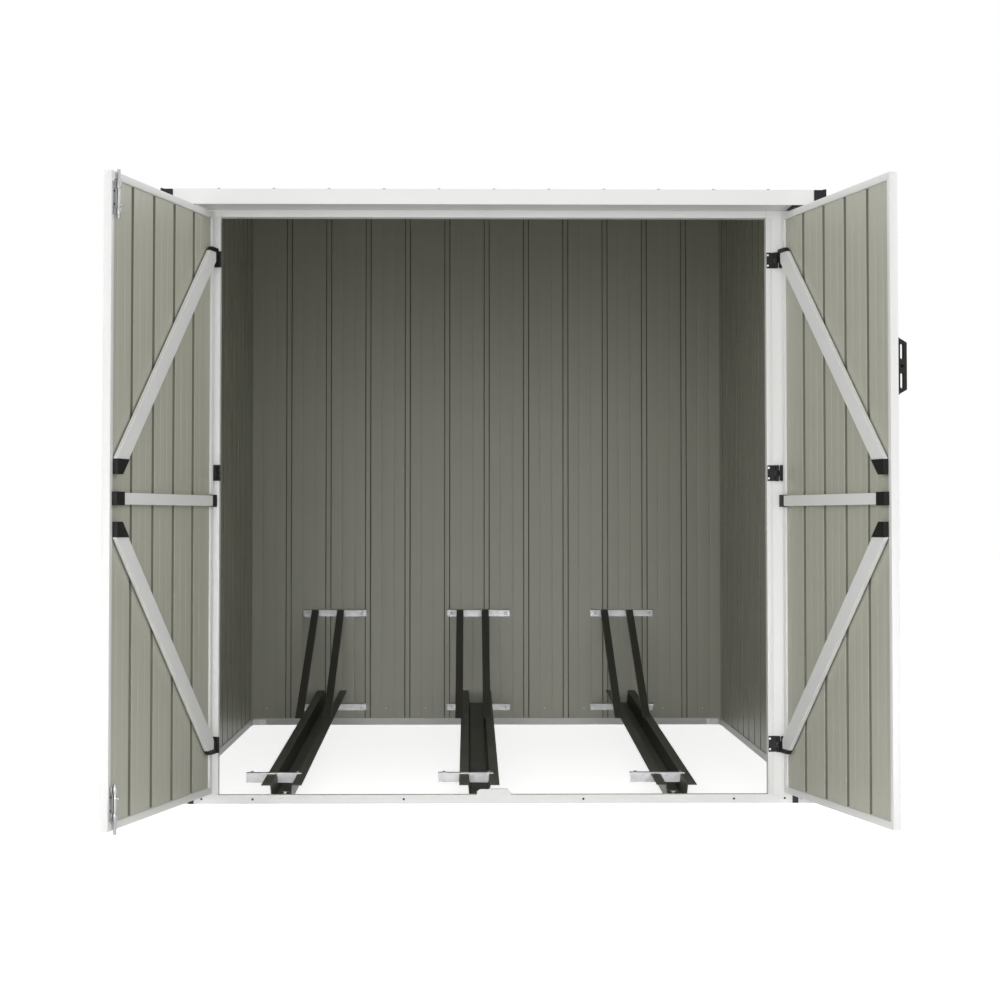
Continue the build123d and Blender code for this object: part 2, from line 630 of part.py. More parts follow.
def jamb_hinge(z, side):
    """Leaf on the jamb with two knuckles and the pin. The left leaf lies outside its pin, the right one inside."""
    low = z - HINGE_HEIGHT / 2
    high = z + HINGE_HEIGHT / 2
    leaf_start = HINGE_PIN_X - side * KNUCKLE_RADIUS
    x0, x1 = sorted((leaf_start, leaf_start - side * JAMB_LEAF_WIDTH))
    leaf = block(x0, x1, FRONT - HINGE_SHEET, FRONT, low, high)
    x0, x1 = sorted((leaf_start - side * HINGE_SHEET, HINGE_PIN_X))
    spans = knuckle_spans(z)
    for z0, z1 in (spans[0], spans[2]):
        leaf += cylinder_z(HINGE_PIN_X, PIN_Y, z0, z1, KNUCKLE_RADIUS)
        leaf += block(x0, x1, PIN_Y + KNUCKLE_RADIUS - HINGE_SHEET, FRONT, z0, z1)
    return hang(leaf + cylinder_z(HINGE_PIN_X, PIN_Y, low, high, PIN_RADIUS), side)


def door_hinge(z):
    """Leaf on the hinge edge of the door with the middle knuckle."""
    low = z - HINGE_HEIGHT / 2
    high = z + HINGE_HEIGHT / 2
    x0 = DOOR_HINGE_X
    near = PIN_Y - KNUCKLE_RADIUS - KNUCKLE_GAP
    leaf = block(x0, x0 + HINGE_SHEET, PIN_Y - DOOR_LEAF_REACH, near, low, high)
    z0, z1 = knuckle_spans(z)[1]
    leaf += block(x0, HINGE_PIN_X, near, PIN_Y - KNUCKLE_RADIUS + HINGE_SHEET, z0, z1)
    leaf += cylinder_z(HINGE_PIN_X, PIN_Y, z0, z1, KNUCKLE_RADIUS)
    return leaf - cylinder_z(HINGE_PIN_X, PIN_Y, z0 - 1, z1 + 1, PIN_RADIUS + PIN_CLEARANCE)


# Barrel bolts, drawn on the closed right-hand door at its top end
def bolt_rod(tip, inward):
    """A rod with a knob; inward is -1 at the top of the door and 1 at the bottom."""
    end = tip + inward * BOLT_LENGTH
    low, high = sorted((tip, end))
    rod = cylinder_z(bolt_x(), bolt_line_y(), low, high, BOLT_RADIUS)
    knob_z = tip + inward * BOLT_KNOB_FROM_TIP
    knob = Pos(bolt_x(), bolt_line_y() + BOLT_KNOB_REACH / 2, knob_z) * Rot(90, 0, 0)
    return rod + knob * Cylinder(BOLT_KNOB_RADIUS, BOLT_KNOB_REACH)


def bolt_housing(edge, inward):
    """Black plate on the stile, with two staples that guide the rod."""
    x = bolt_x()
    y = bolt_line_y()
    wall = BOLT_RADIUS + BOLT_FIT + BOLT_STAPLE_WALL
    z0 = edge + inward * BOLT_FROM_END
    low, high = sorted((z0, z0 + inward * BOLT_PLATE_LENGTH))
    housing = block(DOOR_FREE_X + BOLT_PLATE_INSET, x - wall, DOOR_INNER_Y, DOOR_INNER_Y + BOLT_PLATE_SHEET,
                    low, high)
    for start in (low, high - BOLT_STAPLE_LENGTH):
        housing += block(x - wall, x + wall, DOOR_INNER_Y, y + wall, start, start + BOLT_STAPLE_LENGTH)
    return housing - cylinder_z(x, y, low - 1, high + 1, BOLT_RADIUS + BOLT_FIT)


# Pull handle on the outer face of the closed right-hand door
def handle():
    x0 = DOOR_FREE_X + HANDLE_FROM_EDGE
    face = Plane(origin=(x0, 0, HANDLE_Z), x_dir=(0, -1, 0), z_dir=(1, 0, 0))
    base = HANDLE_BASE_HEIGHT / 2
    top = HANDLE_TOP_HEIGHT / 2
    start = -DOOR_OUTER_Y
    reach = start + HANDLE_REACH
    web = prism([(start, -base), (reach, -top), (reach, top), (start, base)], face, HANDLE_THICKNESS)
    slot_x = start + HANDLE_REACH / 2 - 1
    for z in (-HANDLE_HOLE_OFFSET, HANDLE_HOLE_OFFSET):
        slot = face * Pos(slot_x, z, 0) * SlotOverall(HANDLE_HOLE_HEIGHT, HANDLE_HOLE_WIDTH, rotation=90)
        web -= extrude(slot, amount=HANDLE_THICKNESS, dir=(1, 0, 0))
    lock = face * Pos(slot_x, 0, 0) * Circle(HANDLE_LOCK_RADIUS)
    web -= extrude(lock, amount=HANDLE_LOCK_DEPTH, dir=(1, 0, 0))
    flange = block(x0, x0 + HANDLE_FLANGE_WIDTH, DOOR_OUTER_Y - HANDLE_FLANGE_SHEET, DOOR_OUTER_Y,
                   HANDLE_Z - base, HANDLE_Z + base)
    return web + flange


# Wheel rails and what holds them
def tilt_rail(shape):
    """Place a shape drawn on the level at the front end of a rail and tip it up to the back."""
    return Pos(0, RAIL_START, 0) * Rot(RAIL_ANGLE, 0, 0) * shape


def rail_top(y):
    """Height of the flanges of a rail."""
    return RAIL_DEPTH / math.cos(math.radians(RAIL_ANGLE)) + (y - RAIL_START) * RAIL_SLOPE


def wheel_rail(centre):
    """Hat channel with a notch for the front bar and a hole for its anchor."""
    flange = RAIL_FLANGE_WIDTH / 2
    mouth = RAIL_MOUTH_WIDTH / 2
    floor = RAIL_FLOOR_WIDTH / 2
    sheet = RAIL_SHEET
    top = RAIL_DEPTH
    right = [(floor, 0), (mouth, top - sheet), (flange, top - sheet), (flange, top), (mouth - sheet, top),
             (floor - sheet, sheet)]
    left = [(-x, z) for x, z in reversed(right)]
    level = prism(left + right, Plane.XZ, -RAIL_RUN / math.cos(math.radians(RAIL_ANGLE)))
    rail = Pos(centre, 0, 0) * tilt_rail(level)
    rail -= front_bar_slot(centre)
    return rail - cylinder_z(centre, FRONT + ANCHOR_DEPTH, -1, RAIL_DEPTH / 2, ANCHOR_RADIUS + ANCHOR_FIT)


def front_bar_slot(centre):
    """Notch in a rail where the front bar passes through it."""
    x0 = centre + FRONT_BAR_START
    y0 = FRONT + FRONT_BAR_DEPTH
    return block(x0, x0 + FRONT_BAR_LENGTH, y0, y0 + FRONT_BAR_REACH, FRONT_BAR_BOTTOM, 2 * RAIL_DEPTH)


def front_bar(centre):
    """Angle bar across the front of a rail."""
    x0 = centre + FRONT_BAR_START
    x1 = x0 + FRONT_BAR_LENGTH
    y0 = FRONT + FRONT_BAR_DEPTH
    top = FRONT_BAR_BOTTOM + WALL_BAR_HEIGHT
    web = block(x0, x1, y0, y0 + BAR_SHEET, FRONT_BAR_BOTTOM, top)
    return web + block(x0, x1, y0, y0 + FRONT_BAR_REACH, top - BAR_SHEET, top)


def wall_bar(centre, top, reach):
    """Angle bar on the back base rail or on the back wall."""
    x = centre + WALL_BAR_FROM_RAIL
    half = WALL_BAR_LENGTH / 2
    back = WALL_Y - SHEET_GAP
    web = block(x - half, x + half, back - BAR_SHEET, back, top - WALL_BAR_HEIGHT, top)
    return web + block(x - half, x + half, RAIL_INNER_Y - reach, back, top - BAR_SHEET, top)


def strut(x):
    """Slanting strut from the flange of a rail up to the upper wall bar."""
    foot_y = FRONT + STRUT_FOOT_DEPTH
    foot_z = rail_top(foot_y)
    head_y = RAIL_INNER_Y - UPPER_BAR_REACH
    lift = STRUT_THICKNESS / math.cos(math.atan2(UPPER_BAR_TOP - foot_z, head_y - foot_y))
    run = lift * (head_y - foot_y) / (UPPER_BAR_TOP - foot_z)
    outline = [(foot_y, foot_z), (foot_y + run, rail_top(foot_y + run)), (head_y, UPPER_BAR_TOP - lift),
               (head_y, UPPER_BAR_TOP)]
    return prism(outline, Plane.YZ.offset(x - STRUT_WIDTH / 2), STRUT_WIDTH)


def anchor(centre):
    """Ground anchor in the floor of a rail."""
    y = FRONT + ANCHOR_DEPTH
    seat = RAIL_SHEET + (ANCHOR_DEPTH - RAIL_FRONT + ANCHOR_HEAD_RADIUS) * RAIL_SLOPE
    shank = cylinder_z(centre, y, ANCHOR_GROUND_GAP, seat, ANCHOR_RADIUS)
    return shank + cylinder_z(centre, y, seat, seat + ANCHOR_HEAD_HEIGHT, ANCHOR_HEAD_RADIUS)


# Write the body
save(front_sill(), "front_sill")
save(side_base_rail(), "base_rail_right")
save(mirrored(side_base_rail()), "base_rail_left")
save(back_base_rail(), "base_rail_back")
save(group([corner_plug(), mirrored(corner_plug())]), "base_corner_plugs")
save(group([corner_bracket(), mirrored(corner_bracket())]), "back_corner_brackets")
save(door_stop(), "door_stop")
save(jamb(), "door_jamb_right")
save(mirrored(jamb()), "door_jamb_left")
save(front_post(), "corner_post_front_right")
save(mirrored(front_post()), "corner_post_front_left")
save(group([back_post(), mirrored(back_post())]), "corner_posts_back")
save(header(), "door_header")
save(eaves_board(), "eaves_board")
save(group([top_rail_side(), mirrored(top_rail_side()), top_rail_back()]), "top_rails")
save(side_wall(), "wall_right")
save(mirrored(side_wall()), "wall_left")
save(back_wall(), "wall_back")
save(roof_sheet(), "roof_sheet")
save(roof_front_trim(), "roof_trim_front")
save(group([roof_side_trim(), mirrored(roof_side_trim())]), "roof_trims_side")
save(roof_back_trim(), "roof_trim_back")
caps = [roof_front_cap(), roof_back_cap()]
save(group(caps + [mirrored(cap) for cap in caps]), "roof_corner_caps")

# Write the rack
for name, centre in zip(RAIL_NAMES, RAIL_CENTRES):
    save(wheel_rail(centre), f"wheel_rail_{name}")
save(group(strut(centre + place) for centre in RAIL_CENTRES for place in STRUT_PLACES), "wheel_struts")
save(group(front_bar(centre) for centre in RAIL_CENTRES), "rail_front_bars")
lower_bars = [wall_bar(centre, LOWER_BAR_TOP, LOWER_BAR_REACH) for centre in RAIL_CENTRES]
upper_bars = [wall_bar(centre, UPPER_BAR_TOP, UPPER_BAR_REACH) for centre in RAIL_CENTRES]
save(group(lower_bars + upper_bars), "rail_wall_bars")
save(group(anchor(centre) for centre in RAIL_CENTRES), "rail_anchors")

# Write the doors
for name, side, angle in (("left", -1, LEFT_DOOR_ANGLE), ("right", 1, RIGHT_DOOR_ANGLE)):
    pieces = {
        "frame": door_frame(),
        "panel": [door_panel()],
        "braces": door_braces(),
        "brackets": door_brackets(),
        "hinges": [door_hinge(z) for z in HINGE_CENTRES_Z],
    }
    for piece, solids in pieces.items():
        save(group(turn_door(solid, angle, side) for solid in solids), f"{name}_door_{piece}")

# Write the door hardware
save(group(jamb_hinge(z, side) for side in (-1, 1) for z in HINGE_CENTRES_Z), "jamb_hinges")
top_tip = DOOR_TOP + BOLT_TOP_PROUD
bottom_tip = DOOR_BOTTOM - BOLT_BOTTOM_PROUD
housings = [bolt_housing(DOOR_TOP, -1), bolt_housing(DOOR_BOTTOM, 1)]
save(group(turn_door(housing, LEFT_DOOR_ANGLE, -1) for housing in housings), "left_bolt_housings")
save(turn_door(bolt_rod(top_tip, -1), LEFT_DOOR_ANGLE, -1), "left_top_bolt")
save(turn_door(bolt_rod(bottom_tip, 1), LEFT_DOOR_ANGLE, -1), "left_bottom_bolt")
save(turn_door(handle(), RIGHT_DOOR_ANGLE, 1), "right_door_handle")
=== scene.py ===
"""Sheet-metal bike shelter with open double doors and three wheel rails, dressed around its frame.

Metres. +X to the right as seen from the doors, +Y from the doors to the back wall, +Z up.
"""

import json
import math

import bmesh
import bpy
from mathutils import Matrix, Vector


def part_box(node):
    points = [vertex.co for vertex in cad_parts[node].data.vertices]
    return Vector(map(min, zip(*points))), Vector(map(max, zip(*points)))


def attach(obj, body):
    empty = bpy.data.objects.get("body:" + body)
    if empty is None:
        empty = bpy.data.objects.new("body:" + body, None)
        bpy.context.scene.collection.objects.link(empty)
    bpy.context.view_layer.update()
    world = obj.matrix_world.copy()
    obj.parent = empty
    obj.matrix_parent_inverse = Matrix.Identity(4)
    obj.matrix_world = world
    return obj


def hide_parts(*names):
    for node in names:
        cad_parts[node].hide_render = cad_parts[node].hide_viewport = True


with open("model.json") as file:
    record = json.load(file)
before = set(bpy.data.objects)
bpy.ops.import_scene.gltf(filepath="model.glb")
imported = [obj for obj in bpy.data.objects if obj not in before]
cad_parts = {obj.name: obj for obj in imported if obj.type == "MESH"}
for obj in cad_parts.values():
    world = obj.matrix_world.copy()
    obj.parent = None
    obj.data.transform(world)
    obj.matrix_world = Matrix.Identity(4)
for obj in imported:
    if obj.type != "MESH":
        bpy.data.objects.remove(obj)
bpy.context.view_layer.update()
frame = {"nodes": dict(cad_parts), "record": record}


# The studio: a level white floor, a large soft lamp behind the camera and one on its left, one high on each
# side of the shelter, one behind it, a long low one that reaches in through the doorway, and an even pale
# sky. The camera stands 5.3 m in front of the sill, 0.68 m up and a little left of the middle.
CAMERA_PLACE = (-0.061, -5.265, 0.678)
CAMERA_PITCH = 2.1
CAMERA_YAW = -0.83
CAMERA_LENS = 78.84
CAMERA_SHIFT = -0.061
SENSOR_WIDTH = 36
CLIP_NEAR = 0.05
CLIP_FAR = 200
FLOOR_SPAN = 60.0
FLOOR_LEVEL = -0.0005
FLOOR_COLOUR = (0.80, 0.80, 0.80, 1.0)
FLOOR_ROUGHNESS = 0.9
FLOOR_LIFT = 0.80
PURE_WHITE = (1.0, 1.0, 1.0, 1.0)
SKY_STRENGTH = 0.62

bpy.ops.object.select_all(action="DESELECT")
bpy.ops.object.camera_add(location=CAMERA_PLACE,
                          rotation=(math.radians(90 + CAMERA_PITCH), 0, math.radians(CAMERA_YAW)))
camera = bpy.context.object
camera.name = "camera"
camera.data.lens = CAMERA_LENS
camera.data.sensor_width = SENSOR_WIDTH
camera.data.shift_y = CAMERA_SHIFT
camera.data.clip_start = CLIP_NEAR
camera.data.clip_end = CLIP_FAR
bpy.context.scene.camera = camera
bpy.context.scene.view_settings.view_transform = "Standard"

floor_paint = bpy.data.materials.new("studio_floor")
floor_paint.use_nodes = True
nodes = floor_paint.node_tree.nodes
links = floor_paint.node_tree.links
floor_shader = nodes["Principled BSDF"]
floor_shader.inputs["Base Color"].default_value = FLOOR_COLOUR
floor_shader.inputs["Roughness"].default_value = FLOOR_ROUGHNESS
floor_shader.inputs["Specular IOR Level"].default_value = 0.0
floor_light = nodes.new("ShaderNodeEmission")
ray = nodes.new("ShaderNodeLightPath")
seen = nodes.new("ShaderNodeMath")
seen.operation = "MAXIMUM"
links.new(ray.outputs["Is Camera Ray"], seen.inputs[0])
links.new(ray.outputs["Is Glossy Ray"], seen.inputs[1])
lift = nodes.new("ShaderNodeMath")
lift.operation = "MULTIPLY"
lift.inputs[1].default_value = FLOOR_LIFT
links.new(seen.outputs[0], lift.inputs[0])
links.new(lift.outputs[0], floor_light.inputs["Strength"])
both = nodes.new("ShaderNodeAddShader")
links.new(floor_shader.outputs[0], both.inputs[0])
links.new(floor_light.outputs[0], both.inputs[1])
links.new(both.outputs[0], nodes["Material Output"].inputs["Surface"])

bpy.ops.mesh.primitive_plane_add(size=FLOOR_SPAN, location=(0, 0, FLOOR_LEVEL))
floor = bpy.context.object
floor.name = "studio_floor"
floor.data.materials.append(floor_paint)

sky = bpy.data.worlds.new("studio_sky")
bpy.context.scene.world = sky
sky.use_nodes = True
nodes = sky.node_tree.nodes
links = sky.node_tree.links
pale = nodes["Background"]
pale.inputs["Color"].default_value = PURE_WHITE
pale.inputs["Strength"].default_value = SKY_STRENGTH
white = nodes.new("ShaderNodeBackground")
white.inputs["Color"].default_value = PURE_WHITE
white.inputs["Strength"].default_value = 1.0
ray = nodes.new("ShaderNodeLightPath")
mirror_or_glass = nodes.new("ShaderNodeMath")
mirror_or_glass.operation = "MAXIMUM"
links.new(ray.outputs["Is Glossy Ray"], mirror_or_glass.inputs[0])
links.new(ray.outputs["Is Transmission Ray"], mirror_or_glass.inputs[1])
either = nodes.new("ShaderNodeMath")
either.operation = "MAXIMUM"
links.new(ray.outputs["Is Camera Ray"], either.inputs[0])
links.new(mirror_or_glass.outputs[0], either.inputs[1])
mix = nodes.new("ShaderNodeMixShader")
links.new(either.outputs[0], mix.inputs["Fac"])
links.new(pale.outputs[0], mix.inputs[1])
links.new(white.outputs[0], mix.inputs[2])
links.new(mix.outputs[0], nodes["World Output"].inputs["Surface"])

LAMPS = {
    "lamp_left": ((-3.2, -5.6, 1.6), (0.3, 1.2, 0.5), 2.6, 58.0),
    "lamp_front": ((0.0, -6.5, 1.3), (0.0, 1.0, 0.6), 3.0, 62.0),
    "lamp_right": ((4.6, -1.6, 3.2), (-0.7, -0.3, 0.6), 2.4, 60.0),
    "lamp_left_side": ((-4.6, -1.6, 3.2), (0.7, -0.3, 0.6), 2.4, 42.0),
    "lamp_behind": ((1.5, 6.5, 3.4), (0.0, 1.5, 0.8), 3.0, 60.0),
}
LOW_LAMP_PLACE = (0.0, -2.6, 0.35)
LOW_LAMP_TARGET = (0.0, 2.0, 0.0)
LOW_LAMP_WIDTH = 2.6
LOW_LAMP_HEIGHT = 0.3
LOW_LAMP_SPREAD = 42
LOW_LAMP_POWER = 1.9


def area_lamp(name, place, target, size, power):
    """A soft lamp at a place, aimed at a target."""
    aim = (Vector(target) - Vector(place)).to_track_quat("-Z", "Y").to_euler()
    bpy.ops.object.light_add(type="AREA", location=place, rotation=aim)
    lamp = bpy.context.object
    lamp.name = name
    lamp.data.size = size
    lamp.data.energy = power
    return lamp


for lamp_name, (place, target, size, power) in LAMPS.items():
    area_lamp(lamp_name, place, target, size, power)
low_lamp = area_lamp("lamp_low", LOW_LAMP_PLACE, LOW_LAMP_TARGET, LOW_LAMP_WIDTH, LOW_LAMP_POWER)
low_lamp.data.shape = "RECTANGLE"
low_lamp.data.size_y = LOW_LAMP_HEIGHT
low_lamp.data.spread = math.radians(LOW_LAMP_SPREAD)


# The white frame: sill, base rails, jambs, corner posts, header, eaves board and roof trims are folded
# steel with a white powder coat, slightly pebbled and satin. A little dust lies on the lowest hand's
# breadth.
WHITE = (0.80, 0.80, 0.79, 1.0)
WHITE_ROUGHNESS = 0.42
WHITE_PEEL_SCALE = 620.0
WHITE_PEEL_DEPTH = 0.25
DUST = (0.46, 0.44, 0.40, 1.0)
DUST_HEIGHT = 0.11
DUST_SHARE = 0.10
FOLD_RADIUS = 0.0009
FOLD_ANGLE = math.radians(40)
WELD_REACH = 0.00002
GRAIN_DETAIL = 3.0
GRAIN_ROUGHNESS = 0.55
GRAIN_HEIGHT = 0.0004
COARSE_SCALE = 60.0
COARSE_DETAIL = 2.0
COARSE_SHARE = 0.35
CLOUD_SCALE = 7.0
CLOUD_DETAIL = 5.0
CLOUD_ROUGHNESS = 0.6
SPECK_SCALE = 85.0
SPECK_DETAIL = 4.0
SHEEN_DRIFT = 0.9
WHITE_NODES = ("base_rail_left", "base_rail_right", "base_rail_back", "door_stop",
               "door_jamb_left", "door_jamb_right", "corner_post_front_left", "corner_post_front_right",
               "corner_posts_back", "door_header", "eaves_board", "top_rails", "roof_trim_front",
               "roof_trims_side", "roof_trim_back", "left_door_braces", "right_door_braces")


def surface_grain_group():
    """Fine pebbling of a coat or a moulding: a normal from two sizes of noise."""
    group = bpy.data.node_groups.new("surface_grain", "ShaderNodeTree")
    group.interface.new_socket("Scale", in_out="INPUT", socket_type="NodeSocketFloat")
    group.interface.new_socket("Depth", in_out="INPUT", socket_type="NodeSocketFloat")
    group.interface.new_socket("Normal", in_out="OUTPUT", socket_type="NodeSocketVector")
    given = group.nodes.new("NodeGroupInput")
    result = group.nodes.new("NodeGroupOutput")
    place = group.nodes.new("ShaderNodeTexCoord")
    fine = group.nodes.new("ShaderNodeTexNoise")
    fine.inputs["Detail"].default_value = GRAIN_DETAIL
    fine.inputs["Roughness"].default_value = GRAIN_ROUGHNESS
    coarse = group.nodes.new("ShaderNodeTexNoise")
    coarse.inputs["Scale"].default_value = COARSE_SCALE
    coarse.inputs["Detail"].default_value = COARSE_DETAIL
    blend = group.nodes.new("ShaderNodeMath")
    blend.operation = "MULTIPLY_ADD"
    blend.inputs[1].default_value = COARSE_SHARE
    bump = group.nodes.new("ShaderNodeBump")
    bump.inputs["Distance"].default_value = GRAIN_HEIGHT
    tie = group.links.new
    tie(place.outputs["Object"], fine.inputs["Vector"])
    tie(place.outputs["Object"], coarse.inputs["Vector"])
    tie(given.outputs["Scale"], fine.inputs["Scale"])
    tie(coarse.outputs[0], blend.inputs[0])
    tie(fine.outputs[0], blend.inputs[2])
    tie(blend.outputs[0], bump.inputs["Height"])
    tie(given.outputs["Depth"], bump.inputs["Strength"])
    tie(bump.outputs["Normal"], result.inputs["Normal"])
    return group


def tone_and_dust_group():
    """Cloudy drift of a colour and its roughness, with dust gathered near the ground."""
    group = bpy.data.node_groups.new("tone_and_dust", "ShaderNodeTree")
    group.interface.new_socket("Colour", in_out="INPUT", socket_type="NodeSocketColor")
    group.interface.new_socket("Roughness", in_out="INPUT", socket_type="NodeSocketFloat")
    group.interface.new_socket("Drift", in_out="INPUT", socket_type="NodeSocketFloat")
    group.interface.new_socket("Dust Share", in_out="INPUT", socket_type="NodeSocketFloat")
    group.interface.new_socket("Colour", in_out="OUTPUT", socket_type="NodeSocketColor")
    group.interface.new_socket("Roughness", in_out="OUTPUT", socket_type="NodeSocketFloat")
    given = group.nodes.new("NodeGroupInput")
    result = group.nodes.new("NodeGroupOutput")
    place = group.nodes.new("ShaderNodeTexCoord")
    cloud = group.nodes.new("ShaderNodeTexNoise")
    cloud.inputs["Scale"].default_value = CLOUD_SCALE
    cloud.inputs["Detail"].default_value = CLOUD_DETAIL
    cloud.inputs["Roughness"].default_value = CLOUD_ROUGHNESS
    centred = group.nodes.new("ShaderNodeMath")
    centred.operation = "SUBTRACT"
    centred.inputs[1].default_value = 0.5
    drift = group.nodes.new("ShaderNodeMath")
    drift.operation = "MULTIPLY"
    value = group.nodes.new("ShaderNodeMath")
    value.operation = "ADD"
    value.inputs[1].default_value = 1.0
    tint = group.nodes.new("ShaderNodeHueSaturation")
    height = group.nodes.new("ShaderNodeSeparateXYZ")
    low = group.nodes.new("ShaderNodeMapRange")
    low.interpolation_type = "SMOOTHSTEP"
    low.inputs["From Min"].default_value = DUST_HEIGHT
    low.inputs["From Max"].default_value = 0.0
    speck = group.nodes.new("ShaderNodeTexNoise")
    speck.inputs["Scale"].default_value = SPECK_SCALE
    speck.inputs["Detail"].default_value = SPECK_DETAIL
    patchy = group.nodes.new("ShaderNodeMath")
    patchy.operation = "MULTIPLY"
    share = group.nodes.new("ShaderNodeMath")
    share.operation = "MULTIPLY"
    dusted = group.nodes.new("ShaderNodeMix")
    dusted.data_type = "RGBA"
    dusted.inputs["B"].default_value = DUST
    rough = group.nodes.new("ShaderNodeMath")
    rough.operation = "MULTIPLY_ADD"
    rough.inputs[1].default_value = SHEEN_DRIFT
    tie = group.links.new
    tie(place.outputs["Object"], cloud.inputs["Vector"])
    tie(place.outputs["Object"], speck.inputs["Vector"])
    tie(place.outputs["Object"], height.inputs[0])
    tie(cloud.outputs[0], centred.inputs[0])
    tie(centred.outputs[0], drift.inputs[0])
    tie(given.outputs["Drift"], drift.inputs[1])
    tie(drift.outputs[0], value.inputs[0])
    tie(given.outputs["Colour"], tint.inputs["Color"])
    tie(value.outputs[0], tint.inputs["Value"])
    tie(height.outputs["Z"], low.inputs["Value"])
    tie(low.outputs[0], patchy.inputs[0])
    tie(speck.outputs[0], patchy.inputs[1])
    tie(patchy.outputs[0], share.inputs[0])
    tie(given.outputs["Dust Share"], share.inputs[1])
    tie(share.outputs[0], dusted.inputs["Factor"])
    tie(tint.outputs[0], dusted.inputs["A"])
    tie(dusted.outputs["Result"], result.inputs["Colour"])
    tie(drift.outputs[0], rough.inputs[0])
    tie(given.outputs["Roughness"], rough.inputs[2])
    tie(rough.outputs[0], result.inputs["Roughness"])
    return group


surface_grain = surface_grain_group()
tone_and_dust = tone_and_dust_group()


def coat(name, colour, roughness, drift, dust, grain_scale, grain_depth):
    """A coated or moulded surface: toned colour, patchy sheen and fine grain."""
    material = bpy.data.materials.new(name)
    material.use_nodes = True
    tree = material.node_tree
    shader = tree.nodes["Principled BSDF"]
    tone = tree.nodes.new("ShaderNodeGroup")
    tone.node_tree = tone_and_dust
    tone.inputs["Colour"].default_value = colour
    tone.inputs["Roughness"].default_value = roughness
    tone.inputs["Drift"].default_value = drift
    tone.inputs["Dust Share"].default_value = dust
    grain = tree.nodes.new("ShaderNodeGroup")
    grain.node_tree = surface_grain
    grain.inputs["Scale"].default_value = grain_scale
    grain.inputs["Depth"].default_value = grain_depth
    tree.links.new(tone.outputs["Colour"], shader.inputs["Base Color"])
    tree.links.new(tone.outputs["Roughness"], shader.inputs["Roughness"])
    tree.links.new(grain.outputs["Normal"], shader.inputs["Normal"])
    return material


def finish_node(name, material, radius=0.0):
    """Give a piece of the frame its finish and, where asked, round its folds."""
    node = frame["nodes"][name]
    node.data.materials.clear()
    node.data.materials.append(material)
    if radius:
        weld = node.modifiers.new("weld", "WELD")
        weld.merge_threshold = WELD_REACH
        bevel = node.modifiers.new("folds", "BEVEL")
        bevel.width = radius
        bevel.segments = 2
        bevel.limit_method = "ANGLE"
        bevel.angle_limit = FOLD_ANGLE
        bevel.harden_normals = True


white_coat = coat("white_powder_coat", WHITE, WHITE_ROUGHNESS, drift=0.05, dust=DUST_SHARE,
                  grain_scale=WHITE_PEEL_SCALE, grain_depth=WHITE_PEEL_DEPTH)
for name in WHITE_NODES:
    finish_node(name, white_coat, FOLD_RADIUS)
finish_node("front_sill", white_coat)


# The ribbed sheets: walls, roof and door fillings are one kind of roll-formed steel sheet in sage green,
# with flat-topped ribs at an even pitch and a fine swage line on each side of every rib. One pitch of it
# is folded, repeated and cut to size. Inside, the steep sides of each rib's hollow are painted darker: this
# is painted shade, standing in for the shade that falls in the hollows and shows as dark lines; whether
# that is paint, dirt or only shade isn't known.
SAGE = (0.455, 0.455, 0.385, 1.0)
SAGE_ROUGHNESS = 0.40
RIB_PITCH = 0.131
RIB_BASE = 0.020
RIB_TOP = 0.014
RIB_DEPTH = 0.006
SWAGE_OFFSET = 0.045
SWAGE_WIDTH = 0.005
SWAGE_DEPTH = 0.001
SHEET = 0.001
BEND = 0.0009
SMOOTH_ANGLE = math.radians(50)
# Colour of the painted shade on the steep sides of the rib hollows, inside the sheets.
HOLLOW_PAINTED_SHADE = (0.135, 0.135, 0.105, 1.0)
HOLLOW_ROUGHNESS = 0.60
SHEET_GLOSS = 0.30
SHEET_DUST = 0.18
SHEET_GRAIN_SCALE = 380.0
SHEET_GRAIN_DEPTH = 0.12

sage_coat = coat("sage_paint", SAGE, SAGE_ROUGHNESS, drift=0.07, dust=SHEET_DUST,
                 grain_scale=SHEET_GRAIN_SCALE, grain_depth=SHEET_GRAIN_DEPTH)
hollow_painted_shade = coat("sage_painted_shade_in_hollows", HOLLOW_PAINTED_SHADE, HOLLOW_ROUGHNESS, drift=0.15, dust=SHEET_DUST,
                   grain_scale=SHEET_GRAIN_SCALE, grain_depth=SHEET_GRAIN_DEPTH)
for painted in (sage_coat, hollow_painted_shade):
    painted.node_tree.nodes["Principled BSDF"].inputs["Specular IOR Level"].default_value = SHEET_GLOSS


def alone(piece):
    """Make a piece the only one that operators act on."""
    bpy.ops.object.select_all(action="DESELECT")
    piece.select_set(True)
    bpy.context.view_layer.objects.active = piece


def settle(piece, place=(0, 0, 0), turn=(0, 0, 0)):
    """Put a piece in its place and keep that place in its mesh."""
    alone(piece)
    piece.matrix_world = Matrix.LocRotScale(Vector(place), Matrix.Identity(3).to_euler(), None)
    piece.rotation_euler = turn
    bpy.ops.object.transform_apply(location=True, rotation=True, scale=True)


def apply_modifiers(piece):
    """Work the piece's modifiers into its mesh."""
    alone(piece)
    for modifier in list(piece.modifiers):
        bpy.ops.object.modifier_apply(modifier=modifier.name)


def select_where(piece, test):
    """In edit mode, select the faces or edges whose middle passes the test."""
    shape = bmesh.from_edit_mesh(piece.data)
    for face in shape.faces:
        face.select_set(False)
    for edge in shape.edges:
        edge.select_set(False)
    edges_only = bpy.context.tool_settings.mesh_select_mode[1]
    for item in shape.edges if edges_only else shape.faces:
        points = [corner.co for corner in item.verts]
        middle = sum(points, Vector()) / len(points)
        if test(middle, item):
            item.select_set(True)
    bmesh.update_edit_mesh(piece.data)


